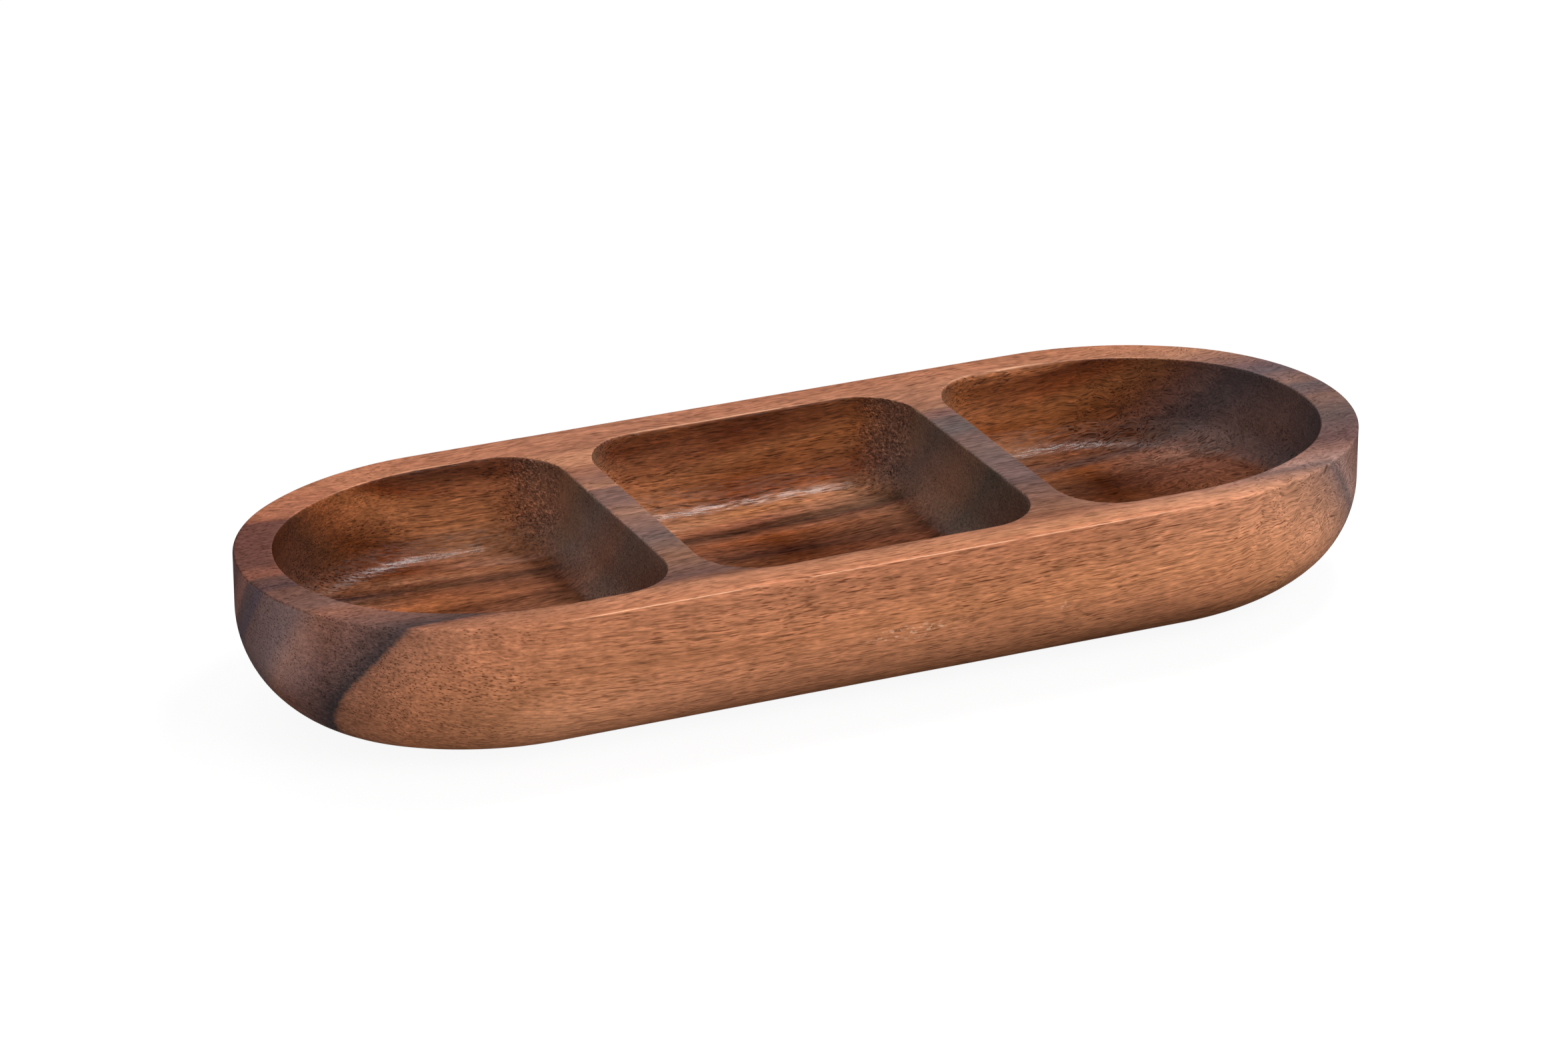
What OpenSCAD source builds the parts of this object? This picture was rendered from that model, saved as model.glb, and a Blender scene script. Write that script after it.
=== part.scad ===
// Chip and dip server: one board of hardwood with three wells carved into it.
// +X runs along the server, +Y to its back and +Z up. The origin is the centre of the flat base.

/* [Body] */
// Length of the body, from tip to tip
body_length = 406; // [385:1:440]
// Width of the body, across its straight sides
body_width = 152; // [146:1:160]
// Height of the body, from the base to the rim
body_height = 56; // [50:1:70]
// Radius of the outline round each tip, less than half the width
tip_radius = 70; // [66:1:72]
// Radius of the under-round, from the upright wall down to the flat base
base_round_radius = 37; // [24:1:44]

/* [Wells] */
// Width of the rim, from the outer wall to a well
rim_width = 13.3; // [9:0.1:17]
// Thickness of each divider between two wells
divider_thickness = 12; // [8:0.5:16]
// Length of the middle well
middle_well_length = 121; // [100:1:130]
// Depth of the wells below the rim
well_depth = 32; // [22:1:38]
// Radius of a well's upright corners beside a divider
well_corner_radius = 21.5; // [18:0.5:26]
// Radius of the fillet between a well's wall and its floor
floor_fillet_radius = 12; // [8:0.5:16]

/* [Edges] */
// Radius of the eased edges all round the rim
edge_radius = 1; // [0.6:0.1:2]

/* [Hidden] */
$fn = 128;

// How far a cut runs past the rim
cut_past = 2;

// The outline is a straight side, a shoulder arc and a tip arc, each tangent to the next.
// A shoulder meets a tip where the wall faces along the slope of a 3-4-5 triangle, which
// puts every centre at a round number and sets the shoulder's radius.
join_slope = [3, 4];
join_hypotenuse = norm(join_slope);
half_width = body_width / 2;
shoulder_radius = (join_hypotenuse * half_width - join_slope[1] * tip_radius)
    / (join_hypotenuse - join_slope[1]);
centre_step = (shoulder_radius - tip_radius) / join_hypotenuse;
tip_x = body_length / 2 - tip_radius;
shoulder_x = tip_x - centre_step * join_slope[0];
shoulder_y = -centre_step * join_slope[1];

// Wells
floor_z = body_height - well_depth;
well_half_width = half_width - rim_width;
middle_wall_x = middle_well_length / 2;
end_wall_x = middle_wall_x + divider_thickness;

// What is left of a square corner outside the arc that rounds it off, with the corner at +X -Y
module corner_waste(radius) {
    difference() {
        square(radius);
        translate([0, radius]) circle(radius);
    }
}

// Half section of the body, from an axis out to its wall
module body_section(reach) {
    difference() {
        square([reach, body_height]);
        translate([reach - base_round_radius, 0]) corner_waste(base_round_radius);
        translate([reach - edge_radius, body_height]) mirror([0, 1]) corner_waste(edge_radius);
    }
}

// Half section of a well, from an axis out to its wall and its eased lip
module well_section(reach) {
    difference() {
        translate([0, floor_z]) square([reach, well_depth + cut_past]);
        translate([reach - floor_fillet_radius, floor_z]) corner_waste(floor_fillet_radius);
    }
    translate([reach, body_height - edge_radius]) difference() {
        square([edge_radius, edge_radius + cut_past]);
        translate([edge_radius, 0]) circle(edge_radius);
    }
}

// Sweeps a half section along +X, on both sides of the XZ plane
module along_x(x_start, x_end) {
    translate([x_start, 0, 0]) rotate([90, 0, 90]) linear_extrude(x_end - x_start) {
        children();
        mirror([1, 0]) children();
    }
}

// Turns a half section about the upright axis at (x, y), over the wedge between two directions
module wedge_turn(x, y, from, to) {
    far = body_length;
    translate([x, y, 0]) intersection() {
        rotate_extrude() children();
        translate([0, 0, -cut_past]) linear_extrude(body_height + 3 * cut_past)
            polygon([[0, 0], far * from, far * (from + to), far * to]);
    }
}

// One end of the outline: a half section turned about both shoulders, then about the tip
module end_turns() {
    for (side = [0, 1])
        mirror([0, side, 0]) wedge_turn(shoulder_x, shoulder_y, join_slope, [0, 1]) children(0);
    wedge_turn(tip_x, 0, [join_slope[0], -join_slope[1]], join_slope) children(1);
}

module outer_form() {
    along_x(-shoulder_x, shoulder_x) body_section(half_width);
    for (end = [0, 1])
        mirror([end, 0, 0]) end_turns() {
            body_section(shoulder_radius);
            body_section(tip_radius);
        }
}

// The part of a well beside a divider: two rounded corners and the wall between them
module divider_end(wall_x) {
    corner_x = wall_x + well_corner_radius;
    corner_y = well_half_width - well_corner_radius;
    for (side = [0, 1])
        mirror([0, side, 0]) translate([corner_x, corner_y, 0]) rotate([0, 0, 90])
            rotate_extrude(angle = 90) well_section(well_corner_radius);
    translate([corner_x, corner_y, 0]) rotate([90, 0, 0]) mirror([1, 0, 0])
        linear_extrude(2 * corner_y) well_section(well_corner_radius);
}

module middle_well() {
    corner_x = middle_wall_x - well_corner_radius;
    along_x(-corner_x, corner_x) well_section(well_half_width);
    for (end = [0, 1])
        mirror([end, 0, 0]) divider_end(-middle_wall_x);
}

module end_well() {
    divider_end(end_wall_x);
    along_x(end_wall_x + well_corner_radius, shoulder_x) well_section(well_half_width);
    end_turns() {
        well_section(shoulder_radius - rim_width);
        well_section(tip_radius - rim_width);
    }
}

module tray_body() {
    color([0.50, 0.27, 0.16]) difference() {
        outer_form();
        middle_well();
        for (end = [0, 1])
            mirror([end, 0, 0]) end_well();
    }
}

tray_body();
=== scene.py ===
"""Chip and dip server: one long oval board of acacia with three carved wells.

The board is drawn ring by ring from its outline, eased and worn by hand in a
Geometry Nodes tree, and finished in three ways: sanded and dry outside, oiled
in the wells, and plain underneath. Sizes are in millimetres in the classes and
in metres in the meshes.
"""

import logging
import math
from collections.abc import Sequence
from dataclasses import dataclass, field
from enum import Enum, IntEnum

import bpy
import numpy as np
from mathutils import Matrix, Vector


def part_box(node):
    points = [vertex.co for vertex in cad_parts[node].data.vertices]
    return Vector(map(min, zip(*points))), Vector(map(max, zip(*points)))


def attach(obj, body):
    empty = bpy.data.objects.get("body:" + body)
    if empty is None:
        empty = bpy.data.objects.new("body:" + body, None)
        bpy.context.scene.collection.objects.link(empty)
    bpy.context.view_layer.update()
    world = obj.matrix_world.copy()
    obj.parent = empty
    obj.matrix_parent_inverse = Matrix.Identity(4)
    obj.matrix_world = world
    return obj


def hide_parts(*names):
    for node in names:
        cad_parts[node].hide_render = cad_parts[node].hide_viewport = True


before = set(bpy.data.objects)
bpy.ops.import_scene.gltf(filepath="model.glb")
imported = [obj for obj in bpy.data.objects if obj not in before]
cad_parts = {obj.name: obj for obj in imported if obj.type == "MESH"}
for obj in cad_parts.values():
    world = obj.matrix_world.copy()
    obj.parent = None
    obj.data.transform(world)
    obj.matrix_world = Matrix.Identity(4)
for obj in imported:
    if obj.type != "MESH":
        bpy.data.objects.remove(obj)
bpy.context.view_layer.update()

LOG = logging.getLogger("server")
MM = 0.001

# The base that shades are powers of, and the middle of a noise's colours.
GROWTH = 2.718
MIDDLE = (0.5, 0.5, 0.5)
# The part of a noise's values that most of it falls in.
NOISE_SPAN = (0.25, 0.75)
WHITE = (1.0, 1.0, 1.0, 1.0)
ORIGIN = (0.0, 0.0, 0.0)

Rgb = tuple[float, float, float]
Span = tuple[float, float]


class Zone(IntEnum):
    """The finish a face of the board gets."""

    RIM = 0
    SIDE = 1
    WELL = 2
    BASE = 3


class Turn(Enum):
    """Which way round a sheet of quads faces."""

    OUT = 1
    IN = -1


# --------------------------------------------------------------------------
# Outlines
# --------------------------------------------------------------------------


@dataclass(frozen=True)
class Outline:
    """A closed outline as stations, anticlockwise from above.

    A station lies radius from its centre along direction, so that an offset
    of the outline is the same stations with a smaller radius.

    Attributes:
        centre: Each station's centre, as rows of x and y.
        direction: The way each faces, as rows of unit vectors.
        radius: How far each lies from its centre, in millimetres.
    """

    centre: np.ndarray
    direction: np.ndarray
    radius: np.ndarray

    def offset(self, inset: float | np.ndarray) -> np.ndarray:
        """The stations moved inwards by inset, as rows of x and y."""
        reach = (self.radius - inset)[:, None]
        return self.centre + reach * self.direction

    def turned(self) -> "Outline":
        """The same outline turned half round the board's middle."""
        return Outline(-self.centre, -self.direction, self.radius)

    @staticmethod
    def joined(pieces: Sequence["Outline"]) -> "Outline":
        """One outline from its arcs and straights in order."""
        kinds = zip(*((p.centre, p.direction, p.radius) for p in pieces))
        return Outline(*(np.concatenate(kind) for kind in kinds))


def arc(
    centre: Sequence[float], radius: float, start: float, end: float, count: int
) -> Outline:
    """Stations round an arc, without its last point.

    Args:
        centre: The arc's centre, x and y.
        radius: Its radius.
        start: Its first angle in degrees.
        end: Its last angle in degrees.
        count: How many stations it has.

    Returns:
        The arc's stations.
    """
    angle = np.radians(start + (end - start) * np.arange(count) / count)
    return Outline(
        np.tile(np.asarray(centre, float), (count, 1)),
        np.stack([np.cos(angle), np.sin(angle)], 1),
        np.full(count, float(radius)),
    )


def straight(
    start: Sequence[float],
    end: Sequence[float],
    facing: Sequence[float],
    reach: float,
    count: int,
) -> Outline:
    """Stations along a straight run, without its last point.

    Args:
        start: The run's first point.
        end: The point after its last station.
        facing: The way the run faces, as a unit vector.
        reach: How far behind the run its centres lie.
        count: How many stations it has.

    Returns:
        The run's stations.
    """
    share = (np.arange(count) / count)[:, None]
    point = np.asarray(start, float) * (1 - share) + np.asarray(end, float) * share
    way = np.tile(np.asarray(facing, float), (count, 1))
    return Outline(point - reach * way, way, np.full(count, float(reach)))


# --------------------------------------------------------------------------
# Mesh sheets
# --------------------------------------------------------------------------


@dataclass
class Sheets:
    """Quads gathered row by row into one closed skin.

    Attributes:
        points: The rows of points, in millimetres.
        arris: How worn an edge each point is, with its painted highlight.
        give: How far the hand finish may move each point.
        carved: How far the cutter tore the grain at each point.
        quads: The quads, as rows of four point numbers.
        zones: The zone of each quad.
        count: How many points there are so far.
    """

    points: list[np.ndarray] = field(default_factory=list)
    arris: list[np.ndarray] = field(default_factory=list)
    give: list[np.ndarray] = field(default_factory=list)
    carved: list[np.ndarray] = field(default_factory=list)
    quads: list[np.ndarray] = field(default_factory=list)
    zones: list[np.ndarray] = field(default_factory=list)
    count: int = 0

    def row(
        self,
        flat: np.ndarray,
        height: float | np.ndarray,
        arris: float | np.ndarray = 0.0,
        give: float = 1.0,
        carved: float | np.ndarray = 0.0,
    ) -> np.ndarray:
        """Adds points and returns their numbers.

        Args:
            flat: Rows of x and y.
            height: Their height, one for all or one each.
            arris: How worn an edge they are, with its painted highlight, from 0 to 1.
            give: How far the hand finish may move them, from 0 to 1.
            carved: How far the cutter tore the grain, from 0 to 1.

        Returns:
            The new points' numbers.
        """
        size = len(flat)
        tall = np.broadcast_to(np.asarray(height, float), (size,))
        self.points.append(np.column_stack([flat, tall]))
        self.arris.append(np.broadcast_to(np.asarray(arris, float), (size,)))
        self.give.append(np.full(size, give))
        self.carved.append(np.broadcast_to(np.asarray(carved, float), (size,)))
        self.count += size
        return np.arange(self.count - size, self.count)

    def place(self, numbers: np.ndarray) -> np.ndarray:
        """Where the points with these numbers are."""
        return np.concatenate(self.points)[numbers]

    def band(
        self, first: np.ndarray, second: np.ndarray, zone: Zone, turn: Turn
    ) -> None:
        """Joins two closed rows of points with quads.

        Args:
            first: The upper or inner row.
            second: The lower or outer row.
            zone: The finish of the quads.
            turn: OUT where second lies below or outside first.
        """
        loop = np.stack([first, second, np.roll(second, -1), np.roll(first, -1)], 1)
        self._keep(loop, zone, turn)

    def patch(
        self,
        rim: np.ndarray,
        corners: tuple[int, int, int, int],
        zone: Zone,
        turn: Turn,
        give: float,
    ) -> None:
        """Fills a closed row of points with a grid that runs side to side.

        Args:
            rim: The row of points, anticlockwise from above.
            corners: Places in it of the grid's low left, low right, high
                right and high left corners.
            zone: The finish of the quads.
            turn: OUT for a grid that faces up.
            give: How far the hand finish may move the new points.
        """
        size = len(rim)
        spans = [(corners[(k + 1) % 4] - corners[k]) % size for k in range(4)]
        wide, deep = spans[0], spans[1]
        low = rim[(corners[0] + np.arange(wide + 1)) % size]
        right = rim[(corners[1] + np.arange(deep + 1)) % size]
        high = rim[(corners[3] - np.arange(wide + 1)) % size]
        left = rim[(corners[0] - np.arange(deep + 1)) % size]
        at = np.concatenate(self.points)
        u = (np.arange(wide + 1) / wide)[None, :, None]
        v = (np.arange(deep + 1) / deep)[:, None, None]
        blend = (
            (1 - v) * at[low][None]
            + v * at[high][None]
            + (1 - u) * at[left][:, None]
            + u * at[right][:, None]
            - (1 - u) * (1 - v) * at[low[0]]
            - u * (1 - v) * at[low[-1]]
            - (1 - u) * v * at[high[0]]
            - u * v * at[high[-1]]
        )
        grid = np.zeros((deep + 1, wide + 1), int)
        grid[0], grid[-1], grid[:, 0], grid[:, -1] = low, high, left, right
        inner = blend[1:-1, 1:-1].reshape(-1, 3)
        numbers = self.row(inner[:, :2], inner[:, 2], 0.0, give)
        grid[1:-1, 1:-1] = numbers.reshape(deep - 1, wide - 1)
        cells = np.stack(
            [grid[:-1, :-1], grid[:-1, 1:], grid[1:, 1:], grid[1:, :-1]], -1
        )
        self._keep(cells.reshape(-1, 4), zone, turn)

    def _keep(self, quads: np.ndarray, zone: Zone, turn: Turn) -> None:
        """Stores quads the right way round."""
        self.quads.append(quads if turn is Turn.OUT else quads[:, ::-1])
        self.zones.append(np.full(len(quads), int(zone)))

    def mesh(self, name: str) -> bpy.types.Mesh:
        """The sheets as a smooth mesh in metres.

        Args:
            name: The mesh's name.

        Returns:
            The mesh, with the attributes arris, give, carved and zone.
        """
        mesh = bpy.data.meshes.new(name)
        points = np.concatenate(self.points) * MM
        quads = np.concatenate(self.quads)
        mesh.vertices.add(len(points))
        mesh.vertices.foreach_set("co", points.astype(np.float32).ravel())
        mesh.loops.add(quads.size)
        mesh.loops.foreach_set("vertex_index", quads.astype(np.int32).ravel())
        mesh.polygons.add(len(quads))
        starts = np.arange(len(quads), dtype=np.int32) * 4
        mesh.polygons.foreach_set("loop_start", starts)
        mesh.update(calc_edges=True)
        mesh.shade_smooth()
        kinds = {"arris": self.arris, "give": self.give, "carved": self.carved}
        for label, values in kinds.items():
            kept = mesh.attributes.new(label, "FLOAT", "POINT")
            kept.data.foreach_set("value", np.concatenate(values).astype(np.float32))
        zone = mesh.attributes.new("zone", "INT", "FACE")
        zone.data.foreach_set("value", np.concatenate(self.zones).astype(np.int32))
        mesh.validate()
        return mesh


# --------------------------------------------------------------------------
# Node wiring
# --------------------------------------------------------------------------

Socket = bpy.types.NodeSocket
Plug = Socket | float | Sequence[float]
Limits = tuple[Plug, Plug]
# The Vector Math operations that give a number.
SINGLE = ("DOT_PRODUCT", "LENGTH")


class Wiring:
    """Short calls for placing and joining the nodes of one tree."""

    def __init__(self, tree: bpy.types.NodeTree) -> None:
        """Keeps the tree that the nodes go in."""
        self.tree = tree

    def add(self, kind: str, *values: Plug, **settings: object) -> bpy.types.Node:
        """Places a node.

        Args:
            kind: The node's type.
            *values: What its first inputs are fed, in order.
            **settings: Its properties.

        Returns:
            The node.
        """
        node = self.tree.nodes.new(kind)
        for name, setting in settings.items():
            setattr(node, name, setting)
        for target, value in zip(node.inputs, values):
            self.feed(target, value)
        return node

    def feed(self, target: Socket, value: Plug) -> None:
        """Joins a socket to the target, or writes a plain value on it.

        Args:
            target: An input.
            value: The socket or the plain value.
        """
        if isinstance(value, bpy.types.NodeSocket):
            self.tree.links.new(value, target)
        else:
            target.default_value = value

    def sums(self, operation: str, *values: Plug, clamp: bool = False) -> Socket:
        """The result of a Math node."""
        node = self.add("ShaderNodeMath", *values, operation=operation, use_clamp=clamp)
        return node.outputs[0]

    def vector(self, operation: str, *values: Plug) -> Socket:
        """The result of a Vector Math node, its number for a dot or a length."""
        node = self.add("ShaderNodeVectorMath", *values, operation=operation)
        return node.outputs["Value" if operation in SINGLE else "Vector"]

    def scaled(self, vector: Plug, factor: Plug) -> Socket:
        """A vector or colour times a number."""
        return self.vector("SCALE", vector, ORIGIN, ORIGIN, factor)

    def remap(self, value: Plug, span: Span, onto: Limits = (0.0, 1.0)) -> Socket:
        """A value eased from one range onto another, held at the ends."""
        return self._ranged("SMOOTHSTEP", value, *span, *onto)

    def linear(self, value: Plug, span: Span, onto: Limits = (0.0, 1.0)) -> Socket:
        """A value taken evenly from one range onto another, held at the ends."""
        return self._ranged("LINEAR", value, *span, *onto)

    def _ranged(self, how: str, *values: Plug) -> Socket:
        """The result of a Map Range node that keeps within its ends."""
        kind = "ShaderNodeMapRange"
        return self.add(kind, *values, interpolation_type=how, clamp=True).outputs[0]

    def split(self, vector: Plug) -> Sequence[Socket]:
        """A vector's x, y and z."""
        return self.add("ShaderNodeSeparateXYZ", vector).outputs

    def joined(self, *axes: Plug) -> Socket:
        """A vector from its x, y and z."""
        return self.add("ShaderNodeCombineXYZ", *axes).outputs[0]

    def place(self) -> Socket:
        """The place on the board, in millimetres."""
        return self.scaled(self.add("ShaderNodeTexCoord").outputs["Object"], 1 / MM)

    def mark(self, name: str) -> Socket:
        """A number kept on the mesh under this name."""
        return self.add("ShaderNodeAttribute", attribute_name=name).outputs["Fac"]

    def mixed(self, factor: Plug, first: Plug, second: Plug, how: str = "MIX") -> Socket:
        """Two colours mixed.

        Args:
            factor: How much of the second shows.
            first: The first colour.
            second: The second colour.
            how: The way they are blended.

        Returns:
            The mixed colour.
        """
        node = self.add("ShaderNodeMix", data_type="RGBA", blend_type=how)
        self.feed(node.inputs["Factor"], factor)
        for target, value in zip(node.inputs[6:8], (first, second)):
            plain = not isinstance(value, bpy.types.NodeSocket)
            self.feed(target, (*value, 1.0) if plain else value)
        return node.outputs[2]

    def noise(
        self,
        vector: Socket,
        scale: Plug,
        detail: float = 2.0,
        roughness: float = 0.5,
        shift: Plug | None = None,
    ) -> bpy.types.Node:
        """A Noise Texture node, in four dimensions where it has a shift.

        Args:
            vector: The place it is read at.
            scale: Its scale.
            detail: How many finer sizes it holds.
            roughness: How strongly those show.
            shift: The fourth coordinate.

        Returns:
            The node.
        """
        size = "3D" if shift is None else "4D"
        node = self.add("ShaderNodeTexNoise", noise_dimensions=size)
        self.feed(node.inputs["Vector"], vector)
        self.feed(node.inputs["Scale"], scale)
        node.inputs["Detail"].default_value = detail
        node.inputs["Roughness"].default_value = roughness
        if shift is not None:
            self.feed(node.inputs["W"], shift)
        return node

    def marks(
        self,
        vector: Socket,
        cell: Sequence[float],
        detail: float = 2.0,
        roughness: float = 0.5,
    ) -> Socket:
        """A noise whose marks are this long, wide and deep."""
        squeezed = self.vector("MULTIPLY", vector, [1 / size for size in cell])
        return self.noise(squeezed, 1.0, detail, roughness).outputs[0]

    def drift(
        self,
        vector: Socket,
        size: float,
        reach: Sequence[float],
        detail: float,
        roughness: float,
    ) -> Socket:
        """A slow wandering from place to place.

        Args:
            vector: The place it is read at.
            size: How far apart the wanderings lie.
            reach: How far they go at most along each axis.
            detail: How many finer sizes they hold.
            roughness: How strongly those show.

        Returns:
            How far each place wanders.
        """
        noise = self.noise(vector, 1 / size, detail, roughness).outputs["Color"]
        centred = self.vector("SUBTRACT", noise, MIDDLE)
        return self.vector("MULTIPLY", centred, [2 * each for each in reach])


def new_group(
    name: str, inputs: dict[str, Plug], outputs: dict[str, str]
) -> tuple[bpy.types.NodeTree, Wiring, dict[str, Socket], dict[str, Socket]]:
    """Starts a shader node group.

    Args:
        name: The group's name.
        inputs: Its inputs with their starting values.
        outputs: Its outputs with their kinds, Float, Color or Vector.

    Returns:
        The group, its wiring, and its inner sockets by name, in and out.
    """
    group = bpy.data.node_groups.new(name, "ShaderNodeTree")
    for label, value in inputs.items():
        kind = "NodeSocketFloat" if isinstance(value, float) else "NodeSocketVector"
        kept = group.interface.new_socket(label, in_out="INPUT", socket_type=kind)
        kept.default_value = value
    for label, kind in outputs.items():
        group.interface.new_socket(
            label, in_out="OUTPUT", socket_type=f"NodeSocket{kind}"
        )
    wiring = Wiring(group)
    source = wiring.add("NodeGroupInput")
    sink = wiring.add("NodeGroupOutput")
    into = {label: source.outputs[label] for label in inputs}
    out = {label: sink.inputs[label] for label in outputs}
    return group, wiring, into, out


# --------------------------------------------------------------------------
# Timber
# --------------------------------------------------------------------------


@dataclass(frozen=True)
class Section:
    """The colours met across the rim, front to back, at one place along it.

    Attributes:
        place: Where along the board, in millimetres from its middle.
        seam: Where across the rim the dark heart ends at the back.
        bands: Places across the rim, in millimetres from its middle, and the
            timber's colour there. A place past the rim's front edge stands
            for the layer that comes out lower down the side or in a well.
    """

    place: float
    seam: float
    bands: tuple[tuple[float, Rgb], ...]


# Most colours in these three tables, and part of the choice of places, were
# worked out by a fitting program and then rounded. They weren't chosen by hand.
# The fit also made up for light and sheen, so the bands hold painted shade and
# painted light besides the timber's colour; the nearly black bands in the wells
# are painted shade.
SECTIONS = (
    Section(-188.0, 42.5, (
        (-95.0, (0.87, 0.41, 0.22)), (-86.0, (0.35, 0.15, 0.078)),
        (-76.0, (0.38, 0.15, 0.078)), (-61.2, (0.28, 0.12, 0.076)),
        (-59.6, (0.049, 0.039, 0.043)), (-50.0, (0.17, 0.087, 0.075)),
        (-38.0, (0.27, 0.12, 0.086)), (-30.0, (0.17, 0.09, 0.076)),
        (-14.5, (0.15, 0.073, 0.059)), (-12.0, (0.098, 0.056, 0.058)),
        (-3.5, (0.12, 0.06, 0.051)), (-1.0, (0.23, 0.09, 0.065)),
        (5.5, (0.19, 0.079, 0.06)), (8.0, (0.13, 0.057, 0.048)),
        (41.8, (0.14, 0.058, 0.048)), (43.2, (0.24, 0.088, 0.057)),
        (48.0, (0.37, 0.14, 0.084)), (76.0, (0.44, 0.17, 0.096)),
    )),
    Section(-66.0, 21.0, (
        (-95.0, (0.82, 0.35, 0.20)), (-86.0, (0.45, 0.18, 0.091)),
        (-76.0, (0.49, 0.20, 0.11)), (-64.0, (0.38, 0.17, 0.10)),
        (-62.0, (0.20, 0.091, 0.064)), (-58.0, (0.13, 0.069, 0.06)),
        (-52.0, (0.18, 0.096, 0.076)), (-42.0, (0.22, 0.11, 0.073)),
        (-25.0, (0.15, 0.099, 0.092)), (-17.0, (0.17, 0.10, 0.089)),
        (-6.0, (0.26, 0.14, 0.11)), (-3.6, (0.20, 0.11, 0.08)), (-2.4, (0.35, 0.19, 0.14)),
        (-0.8, (0.27, 0.14, 0.10)), (10.0, (0.19, 0.11, 0.10)),
        (20.4, (0.17, 0.095, 0.081)), (21.6, (0.35, 0.17, 0.12)),
        (24.0, (0.28, 0.14, 0.09)), (31.0, (0.25, 0.12, 0.09)), (40.0, (0.30, 0.13, 0.084)),
        (46.0, (0.43, 0.20, 0.12)), (52.0, (0.43, 0.20, 0.12)), (58.0, (0.37, 0.16, 0.10)),
        (76.0, (0.37, 0.16, 0.10)),
    )),
    Section(66.0, 39.5, (
        (-95.0, (0.73, 0.30, 0.17)), (-86.0, (0.57, 0.23, 0.11)),
        (-76.0, (0.46, 0.18, 0.097)), (-70.0, (0.44, 0.20, 0.11)),
        (-65.0, (0.33, 0.14, 0.084)), (-60.0, (0.16, 0.068, 0.043)),
        (-57.0, (0.23, 0.11, 0.07)), (-50.0, (0.17, 0.083, 0.06)),
        (-40.0, (0.17, 0.093, 0.076)), (-30.0, (0.11, 0.069, 0.067)),
        (-20.0, (0.16, 0.099, 0.094)), (-10.0, (0.14, 0.092, 0.089)),
        (0.0, (0.17, 0.11, 0.10)), (12.5, (0.14, 0.085, 0.078)),
        (20.0, (0.12, 0.094, 0.094)), (30.0, (0.13, 0.09, 0.087)),
        (38.9, (0.21, 0.10, 0.081)), (40.1, (0.27, 0.15, 0.10)), (42.0, (0.26, 0.12, 0.08)),
        (60.0, (0.35, 0.16, 0.10)), (76.0, (0.37, 0.15, 0.091)),
    )),
    Section(188.0, 51.0, (
        (-95.0, (0.65, 0.21, 0.11)), (-86.0, (0.78, 0.34, 0.18)),
        (-76.0, (0.70, 0.33, 0.20)), (-60.0, (0.17, 0.12, 0.12)),
        (-57.0, (0.33, 0.20, 0.18)), (-50.0, (0.24, 0.13, 0.11)),
        (-42.0, (0.12, 0.066, 0.065)), (-22.0, (0.11, 0.077, 0.076)),
        (-4.0, (0.17, 0.098, 0.083)), (-1.0, (0.13, 0.083, 0.082)),
        (7.0, (0.12, 0.087, 0.091)), (11.0, (0.19, 0.11, 0.095)),
        (21.0, (0.14, 0.089, 0.091)), (23.5, (0.10, 0.075, 0.084)),
        (31.5, (0.14, 0.084, 0.087)), (52.0, (0.35, 0.17, 0.11)),
        (76.0, (0.41, 0.16, 0.086)),
    )),
)


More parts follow.
